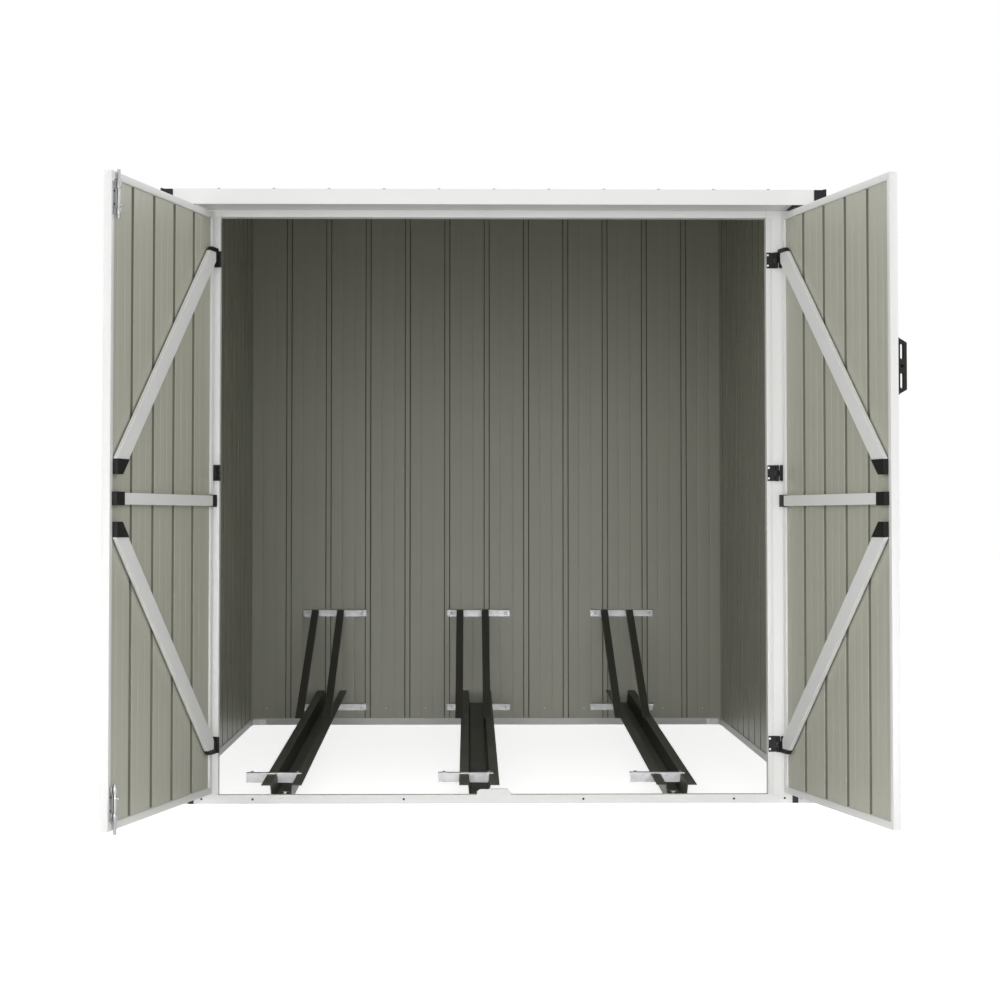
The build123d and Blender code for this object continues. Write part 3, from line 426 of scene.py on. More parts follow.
def rib_profile():
    """Section of one pitch of sheet as (along, outwards), from the middle of one flat to the next."""
    flank = (RIB_BASE - RIB_TOP) / 2
    swage = [(-SWAGE_WIDTH / 2, 0), (-SWAGE_WIDTH / 5, SWAGE_DEPTH * 0.8), (0, SWAGE_DEPTH),
             (SWAGE_WIDTH / 5, SWAGE_DEPTH * 0.8), (SWAGE_WIDTH / 2, 0)]
    left = [(-RIB_PITCH / 2, 0)] + [(along - SWAGE_OFFSET, out) for along, out in swage]
    left += [(-RIB_BASE / 2 - BEND, 0), (-RIB_BASE / 2, BEND / 3), (-RIB_BASE / 2 + BEND / 2, BEND * 1.2),
             (-RIB_TOP / 2 - flank * BEND / RIB_DEPTH, RIB_DEPTH - BEND * 1.2),
             (-RIB_TOP / 2, RIB_DEPTH - BEND / 3), (-RIB_TOP / 2 + BEND, RIB_DEPTH)]
    return left + [(-along, out) for along, out in reversed(left)]


def ribbed_sheet(name, width, length):
    """Sheet lying flat: ribs run along Y from zero and stand up, centred on X."""
    count = int(width / RIB_PITCH)
    span = count + 2
    start = -span * RIB_PITCH / 2
    profile = rib_profile()
    first = profile[1][0] - profile[0][0]
    bpy.ops.object.select_all(action="DESELECT")
    bpy.ops.mesh.primitive_plane_add(size=1, location=(start + first / 2, length / 2, 0))
    sheet = bpy.context.object
    sheet.name = name
    sheet.scale = (first, length, 1)
    bpy.ops.object.transform_apply(location=True, rotation=True, scale=True)
    bpy.ops.object.mode_set(mode="EDIT")
    bpy.ops.mesh.select_mode(type="EDGE")
    select_where(sheet, lambda middle, edge: middle.x > start + first * 0.9)
    for (along, out), (next_along, next_out) in zip(profile[1:], profile[2:]):
        step = (next_along - along, 0, next_out - out)
        bpy.ops.mesh.extrude_edges_move(TRANSFORM_OT_translate={"value": step})
    bpy.ops.object.mode_set(mode="OBJECT")
    rows = sheet.modifiers.new("pitches", "ARRAY")
    rows.count = span
    rows.use_relative_offset = False
    rows.use_constant_offset = True
    rows.constant_offset_displace = (RIB_PITCH, 0, 0)
    rows.use_merge_vertices = True
    apply_modifiers(sheet)
    bpy.ops.object.mode_set(mode="EDIT")
    for side in (-1, 1):
        bpy.ops.mesh.select_all(action="SELECT")
        bpy.ops.mesh.bisect(plane_co=(side * width / 2, 0, 0), plane_no=(side, 0, 0), clear_outer=True)
    bpy.ops.mesh.select_all(action="SELECT")
    bpy.ops.mesh.normals_make_consistent(inside=False)
    bpy.ops.object.mode_set(mode="OBJECT")
    if sheet.data.polygons[0].normal.z < 0:
        sheet.data.flip_normals()
    # The steep faces of each rib take the second material, the painted shade of the hollows.
    for face in sheet.data.polygons:
        face.material_index = int(face.center.z > SWAGE_DEPTH * 1.2 and face.normal.z < 0.9)
    return sheet


def cut_above(sheet, point, slope):
    """Cut a standing sheet along the slope of the roof."""
    alone(sheet)
    bpy.ops.object.mode_set(mode="EDIT")
    bpy.ops.mesh.select_all(action="SELECT")
    bpy.ops.mesh.bisect(plane_co=point, plane_no=(0, -slope, 1), clear_outer=True)
    bpy.ops.object.mode_set(mode="OBJECT")


def thicken(sheet):
    """Give a folded sheet its thickness outwards, smooth its bends and finish it."""
    outward = sheet.data.polygons[0].normal.copy()
    wall = sheet.modifiers.new("thickness", "SOLIDIFY")
    wall.thickness = SHEET
    wall.offset = 1
    apply_modifiers(sheet)
    bpy.ops.object.shade_smooth_by_angle(angle=SMOOTH_ANGLE)
    even = sheet.modifiers.new("even_flats", "WEIGHTED_NORMAL")
    even.keep_sharp = True
    apply_modifiers(sheet)
    # Faces on the outer side go back to plain sage, so the painted shade stays only in the hollows inside.
    for face in sheet.data.polygons:
        if face.normal.dot(outward) > -0.1:
            face.material_index = 0
    sheet.data.materials.append(sage_coat)
    sheet.data.materials.append(hollow_painted_shade)


def top_at(node, y):
    """Height of the frame piece at a depth."""
    points = [corner.co for corner in frame["nodes"][node].data.vertices]
    nearest = min(abs(point.y - y) for point in points)
    return max(point.z for point in points if abs(point.y - y) < nearest + 0.001)


QUARTER = math.radians(90)
for name, side in (("wall_left", -1), ("wall_right", 1)):
    low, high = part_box(name)
    front_top = top_at(name, low[1])
    slope = (high[2] - front_top) / (high[1] - low[1])
    sheet = ribbed_sheet(f"{name}_sheet", high[1] - low[1], high[2] - low[2])
    inner_x = low[0] if side > 0 else high[0]
    settle(sheet, (inner_x, (low[1] + high[1]) / 2, low[2]), (QUARTER, 0, side * QUARTER))
    cut_above(sheet, (0, low[1], front_top), slope)
    thicken(sheet)
    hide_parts(name)
    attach(sheet, "shed")

low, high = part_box("wall_back")
sheet = ribbed_sheet("wall_back_sheet", high[0] - low[0], high[2] - low[2])
settle(sheet, (0, low[1], low[2]), (QUARTER, 0, 2 * QUARTER))
thicken(sheet)
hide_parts("wall_back")
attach(sheet, "shed")

low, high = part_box("roof_sheet")
roof_points = [corner.co for corner in frame["nodes"]["roof_sheet"].data.vertices]
roof_start = min(roof_points, key=lambda point: (round(point.z, 4), point.y))
roof_end = max(roof_points, key=lambda point: (round(point.y, 4), -point.z))
roof_rise = roof_end.z - roof_start.z
roof_run = roof_end.y - roof_start.y
ROOF_PITCH = math.atan2(roof_rise, roof_run)
sheet = ribbed_sheet("roof_ribbed_sheet", high[0] - low[0], math.hypot(roof_rise, roof_run))
settle(sheet, (0, roof_start.y, roof_start.z), (ROOF_PITCH, 0, 0))
thicken(sheet)
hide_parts("roof_sheet")
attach(sheet, "shed")


# The doors: each is a welded frame of flat white bars around one piece of the ribbed sheet. Everything on a
# door is made in its closed place and then swung open about its pin, by the angle that the hinge says.
SEAM_RADIUS = 0.0006
EDGE_ANGLE = math.radians(30)
joint_rows = {row["name"]: row for row in frame["record"]["behaviour"]["joints"]}


def door_turn(door):
    """The turn that opens a closed door to where it stands."""
    row = joint_rows[f"{door}_door_hinge"]
    pin = Vector(row["pos_m"])
    swing = -math.radians(row["range_deg"][1]) * row["axis"][2]
    return Matrix.Translation(pin) @ Matrix.Rotation(swing, 4, "Z") @ Matrix.Translation(-pin)


def closed_box(node, door):
    """Lowest and highest corners of a piece of the frame with its door closed."""
    back = door_turn(door).inverted()
    points = [back @ corner.co for corner in frame["nodes"][node].data.vertices]
    low = Vector([min(point[axis] for point in points) for axis in range(3)])
    high = Vector([max(point[axis] for point in points) for axis in range(3)])
    return low, high


def swing_open(piece, door):
    """Turn a piece made on the closed door to where the open door stands."""
    alone(piece)
    piece.matrix_world = door_turn(door)
    bpy.ops.object.transform_apply(location=True, rotation=True, scale=True)


def door_surround(name, low, high, member):
    """A rectangular frame of four mitred bars with rounded edges, which leave a fine seam at each mitre."""
    bpy.ops.object.select_all(action="DESELECT")
    middle = (low + high) / 2
    bpy.ops.mesh.primitive_plane_add(size=1, location=middle, rotation=(QUARTER, 0, 0))
    surround = bpy.context.object
    surround.name = name
    surround.scale = (high.x - low.x, high.z - low.z, 1)
    bpy.ops.object.transform_apply(location=True, rotation=True, scale=True)
    bpy.ops.object.mode_set(mode="EDIT")
    bpy.ops.mesh.select_mode(type="FACE")
    bpy.ops.mesh.select_all(action="SELECT")
    bpy.ops.mesh.inset(thickness=member)
    bpy.ops.mesh.delete(type="FACE")
    bpy.ops.mesh.select_mode(type="EDGE")
    select_where(surround, lambda point, edge: len(edge.link_faces) == 2)
    bpy.ops.mesh.edge_split()
    bpy.ops.object.mode_set(mode="OBJECT")
    body = surround.modifiers.new("thickness", "SOLIDIFY")
    body.thickness = high.y - low.y
    body.offset = 0
    edges = surround.modifiers.new("edges", "BEVEL")
    edges.width = SEAM_RADIUS
    edges.segments = 2
    apply_modifiers(surround)
    bpy.ops.object.shade_smooth_by_angle(angle=EDGE_ANGLE)
    return surround


for door in ("left", "right"):
    low, high = closed_box(f"{door}_door_frame", door)
    panel_low, panel_high = closed_box(f"{door}_door_panel", door)
    surround = door_surround(f"{door}_door_surround", low, high, panel_low.x - low.x)
    surround.data.materials.append(white_coat)
    swing_open(surround, door)
    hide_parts(f"{door}_door_frame")
    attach(surround, f"{door}_door")
    sheet = ribbed_sheet(f"{door}_door_sheet", panel_high[0] - panel_low[0], panel_high[2] - panel_low[2])
    settle(sheet, ((panel_low[0] + panel_high[0]) / 2, panel_high[1], panel_low[2]), (QUARTER, 0, 0))
    thicken(sheet)
    swing_open(sheet, door)
    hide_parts(f"{door}_door_panel")
    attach(sheet, f"{door}_door")


# The black fittings: brace caps, hinges, handle, corner caps and plugs. They are moulded or
# cast and coated black, with a fine grain and softened edges.
BLACK = (0.012, 0.012, 0.012, 1.0)
BLACK_ROUGHNESS = 0.48
BLACK_GLOSS = 0.22
BLACK_EDGE = 0.0005
BLACK_NODES = ("base_corner_plugs", "roof_corner_caps", "left_door_brackets", "right_door_brackets",
               "left_door_hinges", "right_door_hinges", "jamb_hinges", "right_door_handle")

black_plastic = coat("black_plastic", BLACK, BLACK_ROUGHNESS, drift=0.25, dust=0.10, grain_scale=1100.0,
                     grain_depth=0.35)
black_shader = black_plastic.node_tree.nodes["Principled BSDF"]
black_shader.inputs["Specular IOR Level"].default_value = BLACK_GLOSS
for name in BLACK_NODES:
    finish_node(name, black_plastic, BLACK_EDGE)


# The zinc pieces: wall bars, front bars, back corner brackets, anchors and the two bolt rods are
# galvanised, with the crystal pattern of hot-dip zinc.
ZINC = (0.40, 0.405, 0.41, 1.0)
ZINC_NODES = ("back_corner_brackets", "rail_front_bars", "rail_wall_bars", "rail_anchors", "left_top_bolt",
              "left_bottom_bolt")
ZINC_ROUGHNESS = 0.42
ZINC_METAL = 0.85
ZINC_EDGE = 0.0004
CRYSTAL_SCALE = 95.0
CRYSTAL_DARKEST = 0.86
CRYSTAL_BRIGHTEST = 1.08

zinc = coat("galvanised_zinc", ZINC, ZINC_ROUGHNESS, drift=0.10, dust=0.12, grain_scale=500.0,
            grain_depth=0.10)
tree = zinc.node_tree
shader = tree.nodes["Principled BSDF"]
shader.inputs["Metallic"].default_value = ZINC_METAL
place = tree.nodes.new("ShaderNodeTexCoord")
crystal = tree.nodes.new("ShaderNodeTexVoronoi")
crystal.inputs["Scale"].default_value = CRYSTAL_SCALE
crystal_grey = tree.nodes.new("ShaderNodeMapRange")
crystal_grey.inputs["To Min"].default_value = CRYSTAL_DARKEST
crystal_grey.inputs["To Max"].default_value = CRYSTAL_BRIGHTEST
spangled = tree.nodes.new("ShaderNodeHueSaturation")
tone = [node for node in tree.nodes if node.type == "GROUP" and "Colour" in node.outputs][0]
tree.links.new(place.outputs["Object"], crystal.inputs["Vector"])
tree.links.new(crystal.outputs["Color"], crystal_grey.inputs["Value"])
tree.links.new(crystal_grey.outputs[0], spangled.inputs["Value"])
tree.links.new(tone.outputs["Colour"], spangled.inputs["Color"])
tree.links.new(spangled.outputs[0], shader.inputs["Base Color"])
for name in ZINC_NODES:
    finish_node(name, zinc, ZINC_EDGE)


# The wheel rails and struts: folded steel in a dark olive coat.
DARK = (0.055, 0.055, 0.044, 1.0)
DARK_ROUGHNESS = 0.45
DARK_EDGE = 0.0006
DARK_NODES = ("wheel_rail_left", "wheel_rail_middle", "wheel_rail_right", "wheel_struts")

dark_coat = coat("dark_paint", DARK, DARK_ROUGHNESS, drift=0.15, dust=0.30, grain_scale=520.0,
                 grain_depth=0.20)
for name in DARK_NODES:
    finish_node(name, dark_coat, DARK_EDGE)


# Screws: pan heads with a domed top and a round recess. They are bright on the hinges, the roof trims and
# inside the back wall, and dark on the frame, the bolt plates and the handle.
BRIGHT = (0.72, 0.72, 0.71, 1.0)
HEAD_RADIUS = 0.0026
HEAD_HEIGHT = 0.0014
HEAD_SIDES = 12
HEAD_STEP = 0.25
HEAD_DOME = 0.35
HEAD_ANGLE = math.radians(35)
RECESS_DEPTH = 0.0006
RECESS_STEP = 0.12
BRIGHT_ROUGHNESS = 0.35
BRIGHT_METAL = 0.6

bright_steel = coat("bright_steel", BRIGHT, BRIGHT_ROUGHNESS, drift=0.10, dust=0.0, grain_scale=900.0,
                    grain_depth=0.05)
bright_steel.node_tree.nodes["Principled BSDF"].inputs["Metallic"].default_value = BRIGHT_METAL


def pan_head(radius, height):
    """One screw head that faces up, with a domed top and a round recess."""
    bpy.ops.object.select_all(action="DESELECT")
    bpy.ops.mesh.primitive_cylinder_add(vertices=HEAD_SIDES, radius=radius, depth=height,
                                        location=(0, 0, height / 2))
    head = bpy.context.object
    bpy.ops.object.mode_set(mode="EDIT")
    bpy.ops.mesh.select_mode(type="FACE")
    select_where(head, lambda point, face: face.normal.z > 0.5)
    bpy.ops.mesh.inset(thickness=radius * HEAD_STEP)
    bpy.ops.transform.translate(value=(0, 0, height * HEAD_DOME))
    bpy.ops.mesh.inset(thickness=radius * HEAD_STEP)
    bpy.ops.mesh.extrude_region_move(TRANSFORM_OT_translate={"value": (0, 0, -RECESS_DEPTH)})
    bpy.ops.mesh.inset(thickness=radius * RECESS_STEP)
    bpy.ops.object.mode_set(mode="OBJECT")
    bpy.ops.object.shade_smooth_by_angle(angle=HEAD_ANGLE)
    settle(head)
    return head


def joined(pieces, name):
    """Join pieces into one, under a name."""
    bpy.ops.object.select_all(action="DESELECT")
    for piece in pieces:
        piece.select_set(True)
    bpy.context.view_layer.objects.active = pieces[0]
    if len(pieces) > 1:
        bpy.ops.object.join()
    whole = bpy.context.object
    whole.name = name
    return whole


def set_screws(name, head, spots, material, body):
    """Copies of one head at each (place, facing), joined into one piece."""
    copies = []
    for place, facing in spots:
        copy = head.copy()
        copy.data = head.data.copy()
        bpy.context.collection.objects.link(copy)
        copy.location = place
        copy.rotation_euler = Vector(facing).to_track_quat("Z", "Y").to_euler()
        copies.append(copy)
    piece = joined(copies, name)
    bpy.ops.object.transform_apply(location=True, rotation=True, scale=True)
    piece.data.materials.append(material)
    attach(piece, body)
    return piece


small_head = pan_head(HEAD_RADIUS, HEAD_HEIGHT)


# Hinge screws: each leaf on a jamb has two bright screws and two dark ones in a square, and each leaf on a
# door edge has two bright ones.
LEAF_SCREW_RISE = 0.0126
LEAF_BRIGHT_IN = 0.0033
LEAF_DARK_IN = 0.0105
DOOR_LEAF_IN = 0.0085
LEAF_SHEET = 0.002
LEAF_FROM_JAMB_EDGE = 0.001
HINGE_GAP = 0.05

leaf_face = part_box("door_jamb_right")[0][1] - LEAF_SHEET
hinge_points = [corner.co for corner in frame["nodes"]["jamb_hinges"].data.vertices]
hinge_heights = []
for point in sorted(hinge_points, key=lambda point: point.z):
    if not hinge_heights or point.z > hinge_heights[-1][1] + HINGE_GAP:
        hinge_heights.append([point.z, point.z])
    hinge_heights[-1][1] = point.z
hinge_middles = [(low + high) / 2 for low, high in hinge_heights]
right_leaf_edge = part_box("door_jamb_right")[0][0] + LEAF_FROM_JAMB_EDGE
left_leaf_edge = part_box("jamb_hinges")[0][0]
bright_spots = []
dark_spots = []
for middle in hinge_middles:
    for rise in (-LEAF_SCREW_RISE, LEAF_SCREW_RISE):
        bright_spots.append(((right_leaf_edge + LEAF_BRIGHT_IN, leaf_face, middle + rise), (0, -1, 0)))
        dark_spots.append(((right_leaf_edge + LEAF_DARK_IN, leaf_face, middle + rise), (0, -1, 0)))
        bright_spots.append(((left_leaf_edge + LEAF_DARK_IN + LEAF_BRIGHT_IN, leaf_face, middle + rise),
                             (0, -1, 0)))
        dark_spots.append(((left_leaf_edge + LEAF_BRIGHT_IN, leaf_face, middle + rise), (0, -1, 0)))
set_screws("jamb_hinge_screws", small_head, bright_spots, bright_steel, "shed")
set_screws("jamb_hinge_dark_screws", small_head, dark_spots, black_plastic, "shed")
for door, side in (("left", -1), ("right", 1)):
    hinge_low = closed_box(f"{door}_door_hinges", door)[0]
    edge_low, edge_high = closed_box(f"{door}_door_frame", door)
    edge = edge_high.x + LEAF_SHEET if side > 0 else edge_low.x - LEAF_SHEET
    spots = []
    for middle in hinge_middles:
        for rise in (-LEAF_SCREW_RISE, LEAF_SCREW_RISE):
            spots.append(((edge, hinge_low.y + DOOR_LEAF_IN, middle + rise), (side, 0, 0)))
    screws = set_screws(f"{door}_hinge_screws", small_head, spots, bright_steel, f"{door}_door")
    swing_open(screws, door)


# The jambs: along the doorway each has a strip folded back on itself, so that it stands a little proud.
JAMB_FOLD_WIDTH = 0.0135
JAMB_FOLD_PROUD = 0.0006
JAMB_FOLD_SINK = 0.0004
JAMB_FOLD_ABOVE_SILL = 0.001
JAMB_FOLD_EDGE = 0.0003


def bar(name, low, high, radius, material):
    """A flat bar or strip between two corners, with rounded edges."""
    low = Vector(low)
    high = Vector(high)
    bpy.ops.object.select_all(action="DESELECT")
    bpy.ops.mesh.primitive_cube_add(size=1, location=(low + high) / 2)
    piece = bpy.context.object
    piece.name = name
    piece.scale = high - low
    bpy.ops.object.transform_apply(location=True, rotation=True, scale=True)
    edges = piece.modifiers.new("edges", "BEVEL")
    edges.width = radius
    edges.segments = 2
    apply_modifiers(piece)
    bpy.ops.object.shade_smooth_by_angle(angle=EDGE_ANGLE)
    piece.data.materials.append(material)
    return piece


for name, side in (("left", -1), ("right", 1)):
    low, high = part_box(f"door_jamb_{name}")
    near = low[0] if side > 0 else high[0]
    x0, x1 = sorted((near, near + side * JAMB_FOLD_WIDTH))
    sill_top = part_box("front_sill")[1][2]
    header_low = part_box("door_header")[0][2]
    fold = bar(f"jamb_fold_{name}", (x0, low[1] - JAMB_FOLD_PROUD, sill_top + JAMB_FOLD_ABOVE_SILL),
               (x1, low[1] + JAMB_FOLD_SINK, header_low), JAMB_FOLD_EDGE, white_coat)
    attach(fold, "shed")


# Frame screws: dark ones at the feet of the posts and jambs and in the four holes of the sill, white
# hexagon heads on washers where the cladding is fixed to the base rails and corner posts, sage ones on the
# ribs of the roof, and bright pan heads along the side trims of the roof.
FOOT_SCREW_HEIGHT = 0.0118
POST_SCREW_X = 0.737
JAMB_HOLE_X = 0.6964
WASHER_RADIUS = 0.0062
WASHER_HEIGHT = 0.0009
HEX_RADIUS = 0.0038
HEX_HEIGHT = 0.0030
HEX_ANGLE = math.radians(25)
SILL_SCREW_SINK = 0.0022
CLAD_SCREW_ROWS = 6
CLAD_ALONG_MARGIN = 0.06
CLAD_RISE_MARGIN = 0.10
CLAD_ACROSS_MARGIN = 0.09
CLAD_FROM_CORNER = 0.015
ROOF_SCREW_INSET = 0.035
TRIM_SCREW_MARGIN = 0.08
TRIM_SCREW_DROP = 0.018


def hex_head():
    """Self-drilling screw: a hexagon on a round washer, facing up."""
    bpy.ops.object.select_all(action="DESELECT")
    bpy.ops.mesh.primitive_cylinder_add(vertices=12, radius=WASHER_RADIUS, depth=WASHER_HEIGHT,
                                        location=(0, 0, WASHER_HEIGHT / 2))
    washer = bpy.context.object
    bpy.ops.object.mode_set(mode="EDIT")
    bpy.ops.mesh.select_mode(type="FACE")
    select_where(washer, lambda point, face: face.normal.z > 0.5)
    bpy.ops.mesh.inset(thickness=WASHER_RADIUS * 0.2)
    bpy.ops.transform.translate(value=(0, 0, WASHER_HEIGHT * 0.5))
    bpy.ops.object.mode_set(mode="OBJECT")
    bpy.ops.mesh.primitive_cylinder_add(vertices=6, radius=HEX_RADIUS, depth=HEX_HEIGHT,
                                        location=(0, 0, WASHER_HEIGHT + HEX_HEIGHT / 2))
    nut = bpy.context.object
    bpy.ops.object.mode_set(mode="EDIT")
    bpy.ops.mesh.select_mode(type="FACE")
    select_where(nut, lambda point, face: face.normal.z > 0.5)
    bpy.ops.mesh.bevel(offset=HEX_RADIUS * 0.12, segments=1)
    bpy.ops.object.mode_set(mode="OBJECT")
    washer.select_set(True)
    bpy.context.view_layer.objects.active = washer
    bpy.ops.object.join()
    head = bpy.context.object
    bpy.ops.object.shade_smooth_by_angle(angle=HEX_ANGLE)
    settle(head)
    return head


def in_row(start, end, margin, step, gaps):
    """Where one screw of an even row sits between two ends."""
    return start + margin + (end - start - 2 * margin) * step / gaps


hex_screw = hex_head()
front_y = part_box("corner_post_front_right")[0][1]
post_spots = [((side * POST_SCREW_X, front_y, FOOT_SCREW_HEIGHT), (0, -1, 0)) for side in (-1, 1)]
jamb_spots = [((side * JAMB_HOLE_X, front_y, FOOT_SCREW_HEIGHT), (0, -1, 0)) for side in (-1, 1)]
for row in frame["record"]["mounts"]:
    if row["kind"] == "bolt_pattern":
        half = row["dims"]["spacing_x_mm"] / 2000
        for side in (-1, 1):
            spot = (row["pos_m"][0] + side * half, row["pos_m"][1] + SILL_SCREW_SINK, row["pos_m"][2])
            post_spots.append((spot, (0, -1, 0)))
set_screws("front_foot_screws", small_head, post_spots + jamb_spots, black_plastic, "shed")

clad_spots = []
body_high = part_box("base_rail_right")[1]
back_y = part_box("base_rail_back")[1][1]
post_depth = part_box("corner_post_front_right")[1][1]
base_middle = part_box("base_rail_right")[1][2] / 2
column_gaps = CLAD_SCREW_ROWS - 1
for side in (-1, 1):
    wall_x = side * body_high[0]
    for step in range(CLAD_SCREW_ROWS + 1):
        along = in_row(post_depth, back_y, CLAD_ALONG_MARGIN, step, CLAD_SCREW_ROWS)
        clad_spots.append(((wall_x, along, base_middle), (side, 0, 0)))
    for step in range(CLAD_SCREW_ROWS):
        rise = in_row(0, top_at("wall_right", 0), CLAD_RISE_MARGIN, step, column_gaps)
        clad_spots.append(((wall_x, (front_y + post_depth) / 2, rise), (side, 0, 0)))
        rise = in_row(0, top_at("wall_right", back_y), CLAD_RISE_MARGIN, step, column_gaps)
        clad_spots.append(((wall_x, back_y - CLAD_FROM_CORNER, rise), (side, 0, 0)))
        clad_spots.append(((wall_x - side * CLAD_FROM_CORNER, back_y, rise), (0, 1, 0)))
for step in range(CLAD_SCREW_ROWS):
    across = in_row(-body_high[0], body_high[0], CLAD_ACROSS_MARGIN, step, column_gaps)
    clad_spots.append(((across, back_y, base_middle), (0, 1, 0)))
set_screws("cladding_screws", hex_screw, clad_spots, white_coat, "shed")

# Screws through the back wall into the base rail show inside as a row of bright tips, one between each two
# ribs.
TIP_HEIGHT = 0.054
TIP_ROW_START = -0.071
TIP_ROW_REACH = 6
TIP_WALL_MARGIN = 0.01
wall_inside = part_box("wall_back")[0][1]
wall_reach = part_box("wall_back")[1][0]
tip_spots = []
for step in range(-TIP_ROW_REACH, TIP_ROW_REACH + 1):
    across = TIP_ROW_START + step * RIB_PITCH
    if abs(across) < wall_reach - TIP_WALL_MARGIN:
        tip_spots.append(((across, wall_inside, TIP_HEIGHT), (0, -1, 0)))
set_screws("back_wall_screw_tips", small_head, tip_spots, bright_steel, "shed")

roof_low, roof_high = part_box("roof_sheet")
rib_count = int((roof_high[0] - roof_low[0]) / RIB_PITCH)
up = Vector((0, -math.sin(ROOF_PITCH), math.cos(ROOF_PITCH)))
along_roof = Vector((0, math.cos(ROOF_PITCH), math.sin(ROOF_PITCH)))
roof_length = math.hypot(roof_rise, roof_run)
roof_spots = []
for reach in (ROOF_SCREW_INSET, roof_length / 2, roof_length - ROOF_SCREW_INSET):
    for step in range(rib_count):
        across = (step - (rib_count - 1) / 2) * RIB_PITCH
        spot = Vector((across, roof_start.y, roof_start.z)) + along_roof * reach
        spot += up * (RIB_DEPTH + SHEET)
        roof_spots.append((spot, up))
set_screws("roof_screws", hex_screw, roof_spots, sage_coat, "shed")

trim_spots = []
trim_low, trim_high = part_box("roof_trims_side")
for side in (-1, 1):
    for step in range(CLAD_SCREW_ROWS):
        along = in_row(trim_low[1], trim_high[1], TRIM_SCREW_MARGIN, step, column_gaps)
        trim_top = top_at("roof_trims_side", trim_low[1]) + (along - trim_low[1]) * roof_rise / roof_run
        rise = trim_top - TRIM_SCREW_DROP
        trim_spots.append(((side * trim_high[0], along, rise), (side, 0, 0)))
set_screws("roof_trim_screws", small_head, trim_spots, bright_steel, "shed")


# The rack's bolts: a hexagon head near each end of every front bar and wall bar.
BAR_REACH = 0.2
BAR_BOLT_IN = 0.014
WALL_BAR_SHEET = 0.0022
WALL_BOLT_DROP = 0.014
LOWER_BAR_RISE = 0.024
FRONT_BOLT_RIGHT_IN = 0.010
FRONT_BOLT_BACK = 0.010


def points_near(node, middle):
    """Points of a frame piece that belong to the rail at this middle."""
    points = [corner.co for corner in frame["nodes"][node].data.vertices]
    return [point for point in points if abs(point.x - middle) < BAR_REACH]


bolt_spots = []
bars_low, bars_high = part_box("rail_wall_bars")
for rail in ("left", "middle", "right"):
    low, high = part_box(f"wheel_rail_{rail}")
    middle = (low[0] + high[0]) / 2
    bars = points_near("rail_wall_bars", middle)
    x0 = min(point.x for point in bars)
    x1 = max(point.x for point in bars)
    for level in (round(max(point.z for point in bars), 3), bars_low[2] + LOWER_BAR_RISE):
        for x in (x0 + BAR_BOLT_IN, x1 - BAR_BOLT_IN):
            bolt_spots.append(((x, bars_high[1] - WALL_BAR_SHEET, level - WALL_BOLT_DROP), (0, -1, 0)))
    fronts = points_near("rail_front_bars", middle)
    x0 = min(point.x for point in fronts)
    x1 = max(point.x for point in fronts)
    top = max(point.z for point in fronts)
    y0 = min(point.y for point in fronts)
    for x in (x0 + BAR_BOLT_IN, x1 - FRONT_BOLT_RIGHT_IN):
        bolt_spots.append(((x, y0 + FRONT_BOLT_BACK, top), (0, 0, 1)))
set_screws("rack_bolts", hex_screw, bolt_spots, zinc, "shed")


# The barrel bolts' guides: at each end of the left door a galvanised plate is screwed to the stile, and two
# tubes pressed from it hold the rod.
GUIDE_PLATE = 0.0018
GUIDE_WALL = 0.0016
GUIDE_LENGTH = 0.014
GUIDE_BORE = 0.0044
GUIDE_LIP = 0.0030
PLATE_SCREW_IN = 0.007
PLATE_EDGE = 0.0005
ROD_PLAY = 0.0004
TUBE_SIDES = 24
TUBE_ANGLE = math.radians(40)
RIM_RADIUS = 0.0003
RIM_ANGLE = math.radians(60)
FOOT_OVERLAP = 0.0008
FOOT_SINK = 0.0002
FOOT_PROUD = 0.0008
FOOT_EDGE = 0.0004

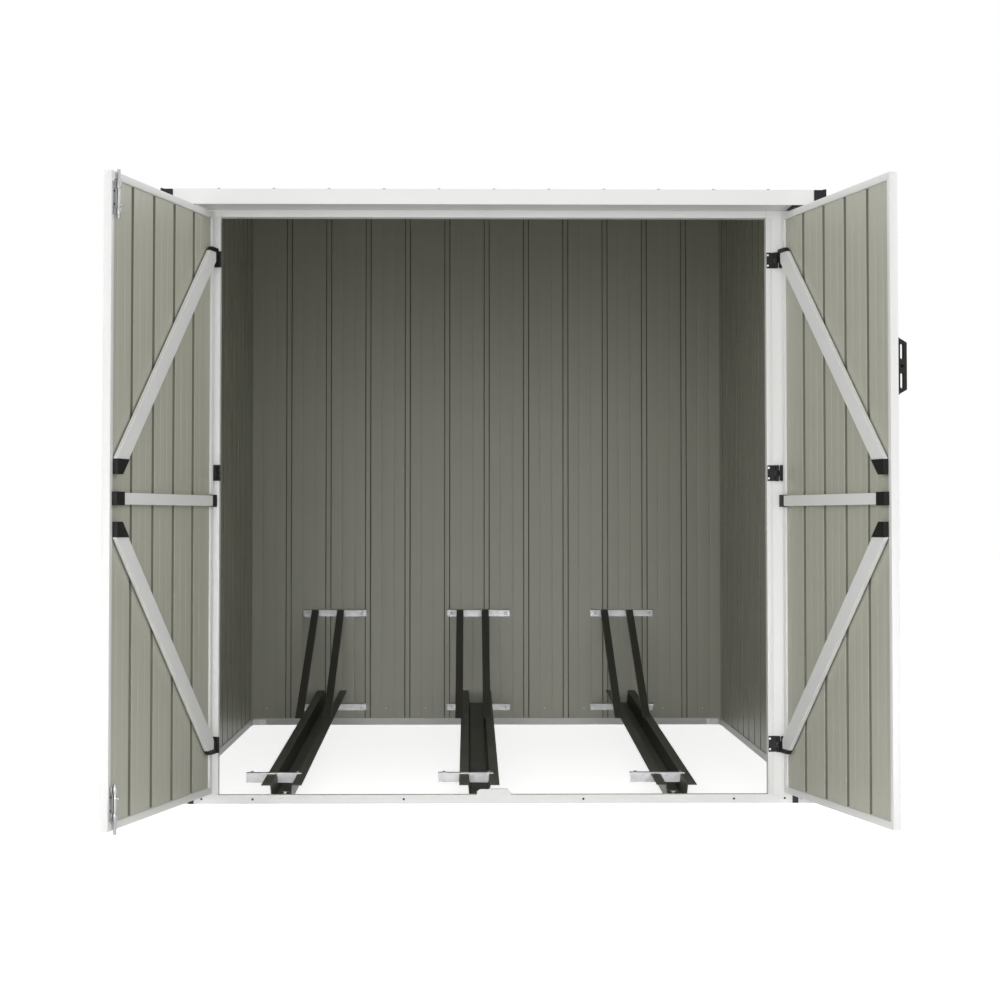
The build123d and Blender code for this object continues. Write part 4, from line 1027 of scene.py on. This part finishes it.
frame_low, frame_high = closed_box("left_door_frame", "left")
back = door_turn("left").inverted()
housing_points = [back @ corner.co for corner in frame["nodes"]["left_bolt_housings"].data.vertices]
frame_middle = (frame_low.z + frame_high.z) / 2
guides = []
spots = []
for rod, points in (("left_top_bolt", [point for point in housing_points if point.z > frame_middle]),
                    ("left_bottom_bolt", [point for point in housing_points if point.z < frame_middle])):
    rod_low, rod_high = closed_box(rod, "left")
    rod_x = (rod_low.x + rod_high.x) / 2
    rod_y = rod_low.y + GUIDE_BORE - ROD_PLAY
    low_z = min(point.z for point in points)
    high_z = max(point.z for point in points)
    outer = GUIDE_BORE + GUIDE_WALL
    plate_x = max(point.x for point in points)
    guides.append(bar("bolt_plate", (rod_x + outer, frame_high.y, low_z),
                      (plate_x, frame_high.y + GUIDE_PLATE, high_z), PLATE_EDGE, zinc))
    for start in (low_z, high_z - GUIDE_LENGTH):
        bpy.ops.object.select_all(action="DESELECT")
        bpy.ops.mesh.primitive_cylinder_add(vertices=TUBE_SIDES, radius=outer, depth=GUIDE_LENGTH,
                                            end_fill_type="NOTHING",
                                            location=(rod_x, rod_y, start + GUIDE_LENGTH / 2))
        tube = bpy.context.object
        settle(tube, tube.location.copy())
        shell = tube.modifiers.new("wall", "SOLIDIFY")
        shell.thickness = GUIDE_WALL
        shell.offset = -1
        rims = tube.modifiers.new("rims", "BEVEL")
        rims.width = RIM_RADIUS
        rims.segments = 2
        rims.limit_method = "ANGLE"
        rims.angle_limit = RIM_ANGLE
        apply_modifiers(tube)
        bpy.ops.object.shade_smooth_by_angle(angle=TUBE_ANGLE)
        tube.data.materials.append(zinc)
        guides.append(tube)
        guides.append(bar("guide_foot", (rod_x + outer - FOOT_OVERLAP, frame_high.y + FOOT_SINK, start),
                          (rod_x + outer + GUIDE_LIP, frame_high.y + GUIDE_PLATE + FOOT_PROUD,
                           start + GUIDE_LENGTH), FOOT_EDGE, zinc))
    for height in (low_z + GUIDE_LENGTH + PLATE_SCREW_IN, high_z - GUIDE_LENGTH - PLATE_SCREW_IN):
        spots.append((((rod_x + outer + plate_x) / 2, frame_high.y + GUIDE_PLATE, height), (0, 1, 0)))
guides = joined(guides, "left_bolt_guides")
swing_open(guides, "left")
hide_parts("left_bolt_housings")
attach(guides, "left_door")
screws = set_screws("bolt_plate_screws", small_head, spots, black_plastic, "left_door")
swing_open(screws, "left")


# The handle is held to the free edge of the right door by three dark screws.
HANDLE_SCREW_SHARES = (0.12, 0.50, 0.88)
HANDLE_SCREW_IN = 0.0055
HANDLE_SHEET = 0.003

low, high = closed_box("right_door_handle", "right")
frame_low = closed_box("right_door_frame", "right")[0]
spots = []
for share in HANDLE_SCREW_SHARES:
    height = low.z + (high.z - low.z) * share
    spots.append(((high.x - HANDLE_SCREW_IN, frame_low.y - HANDLE_SHEET, height), (0, -1, 0)))
screws = set_screws("handle_screws", small_head, spots, black_plastic, "right_door")
swing_open(screws, "right")

# The two heads that the screws were copied from are taken away.
for head in (small_head, hex_screw):
    bpy.data.objects.remove(head)
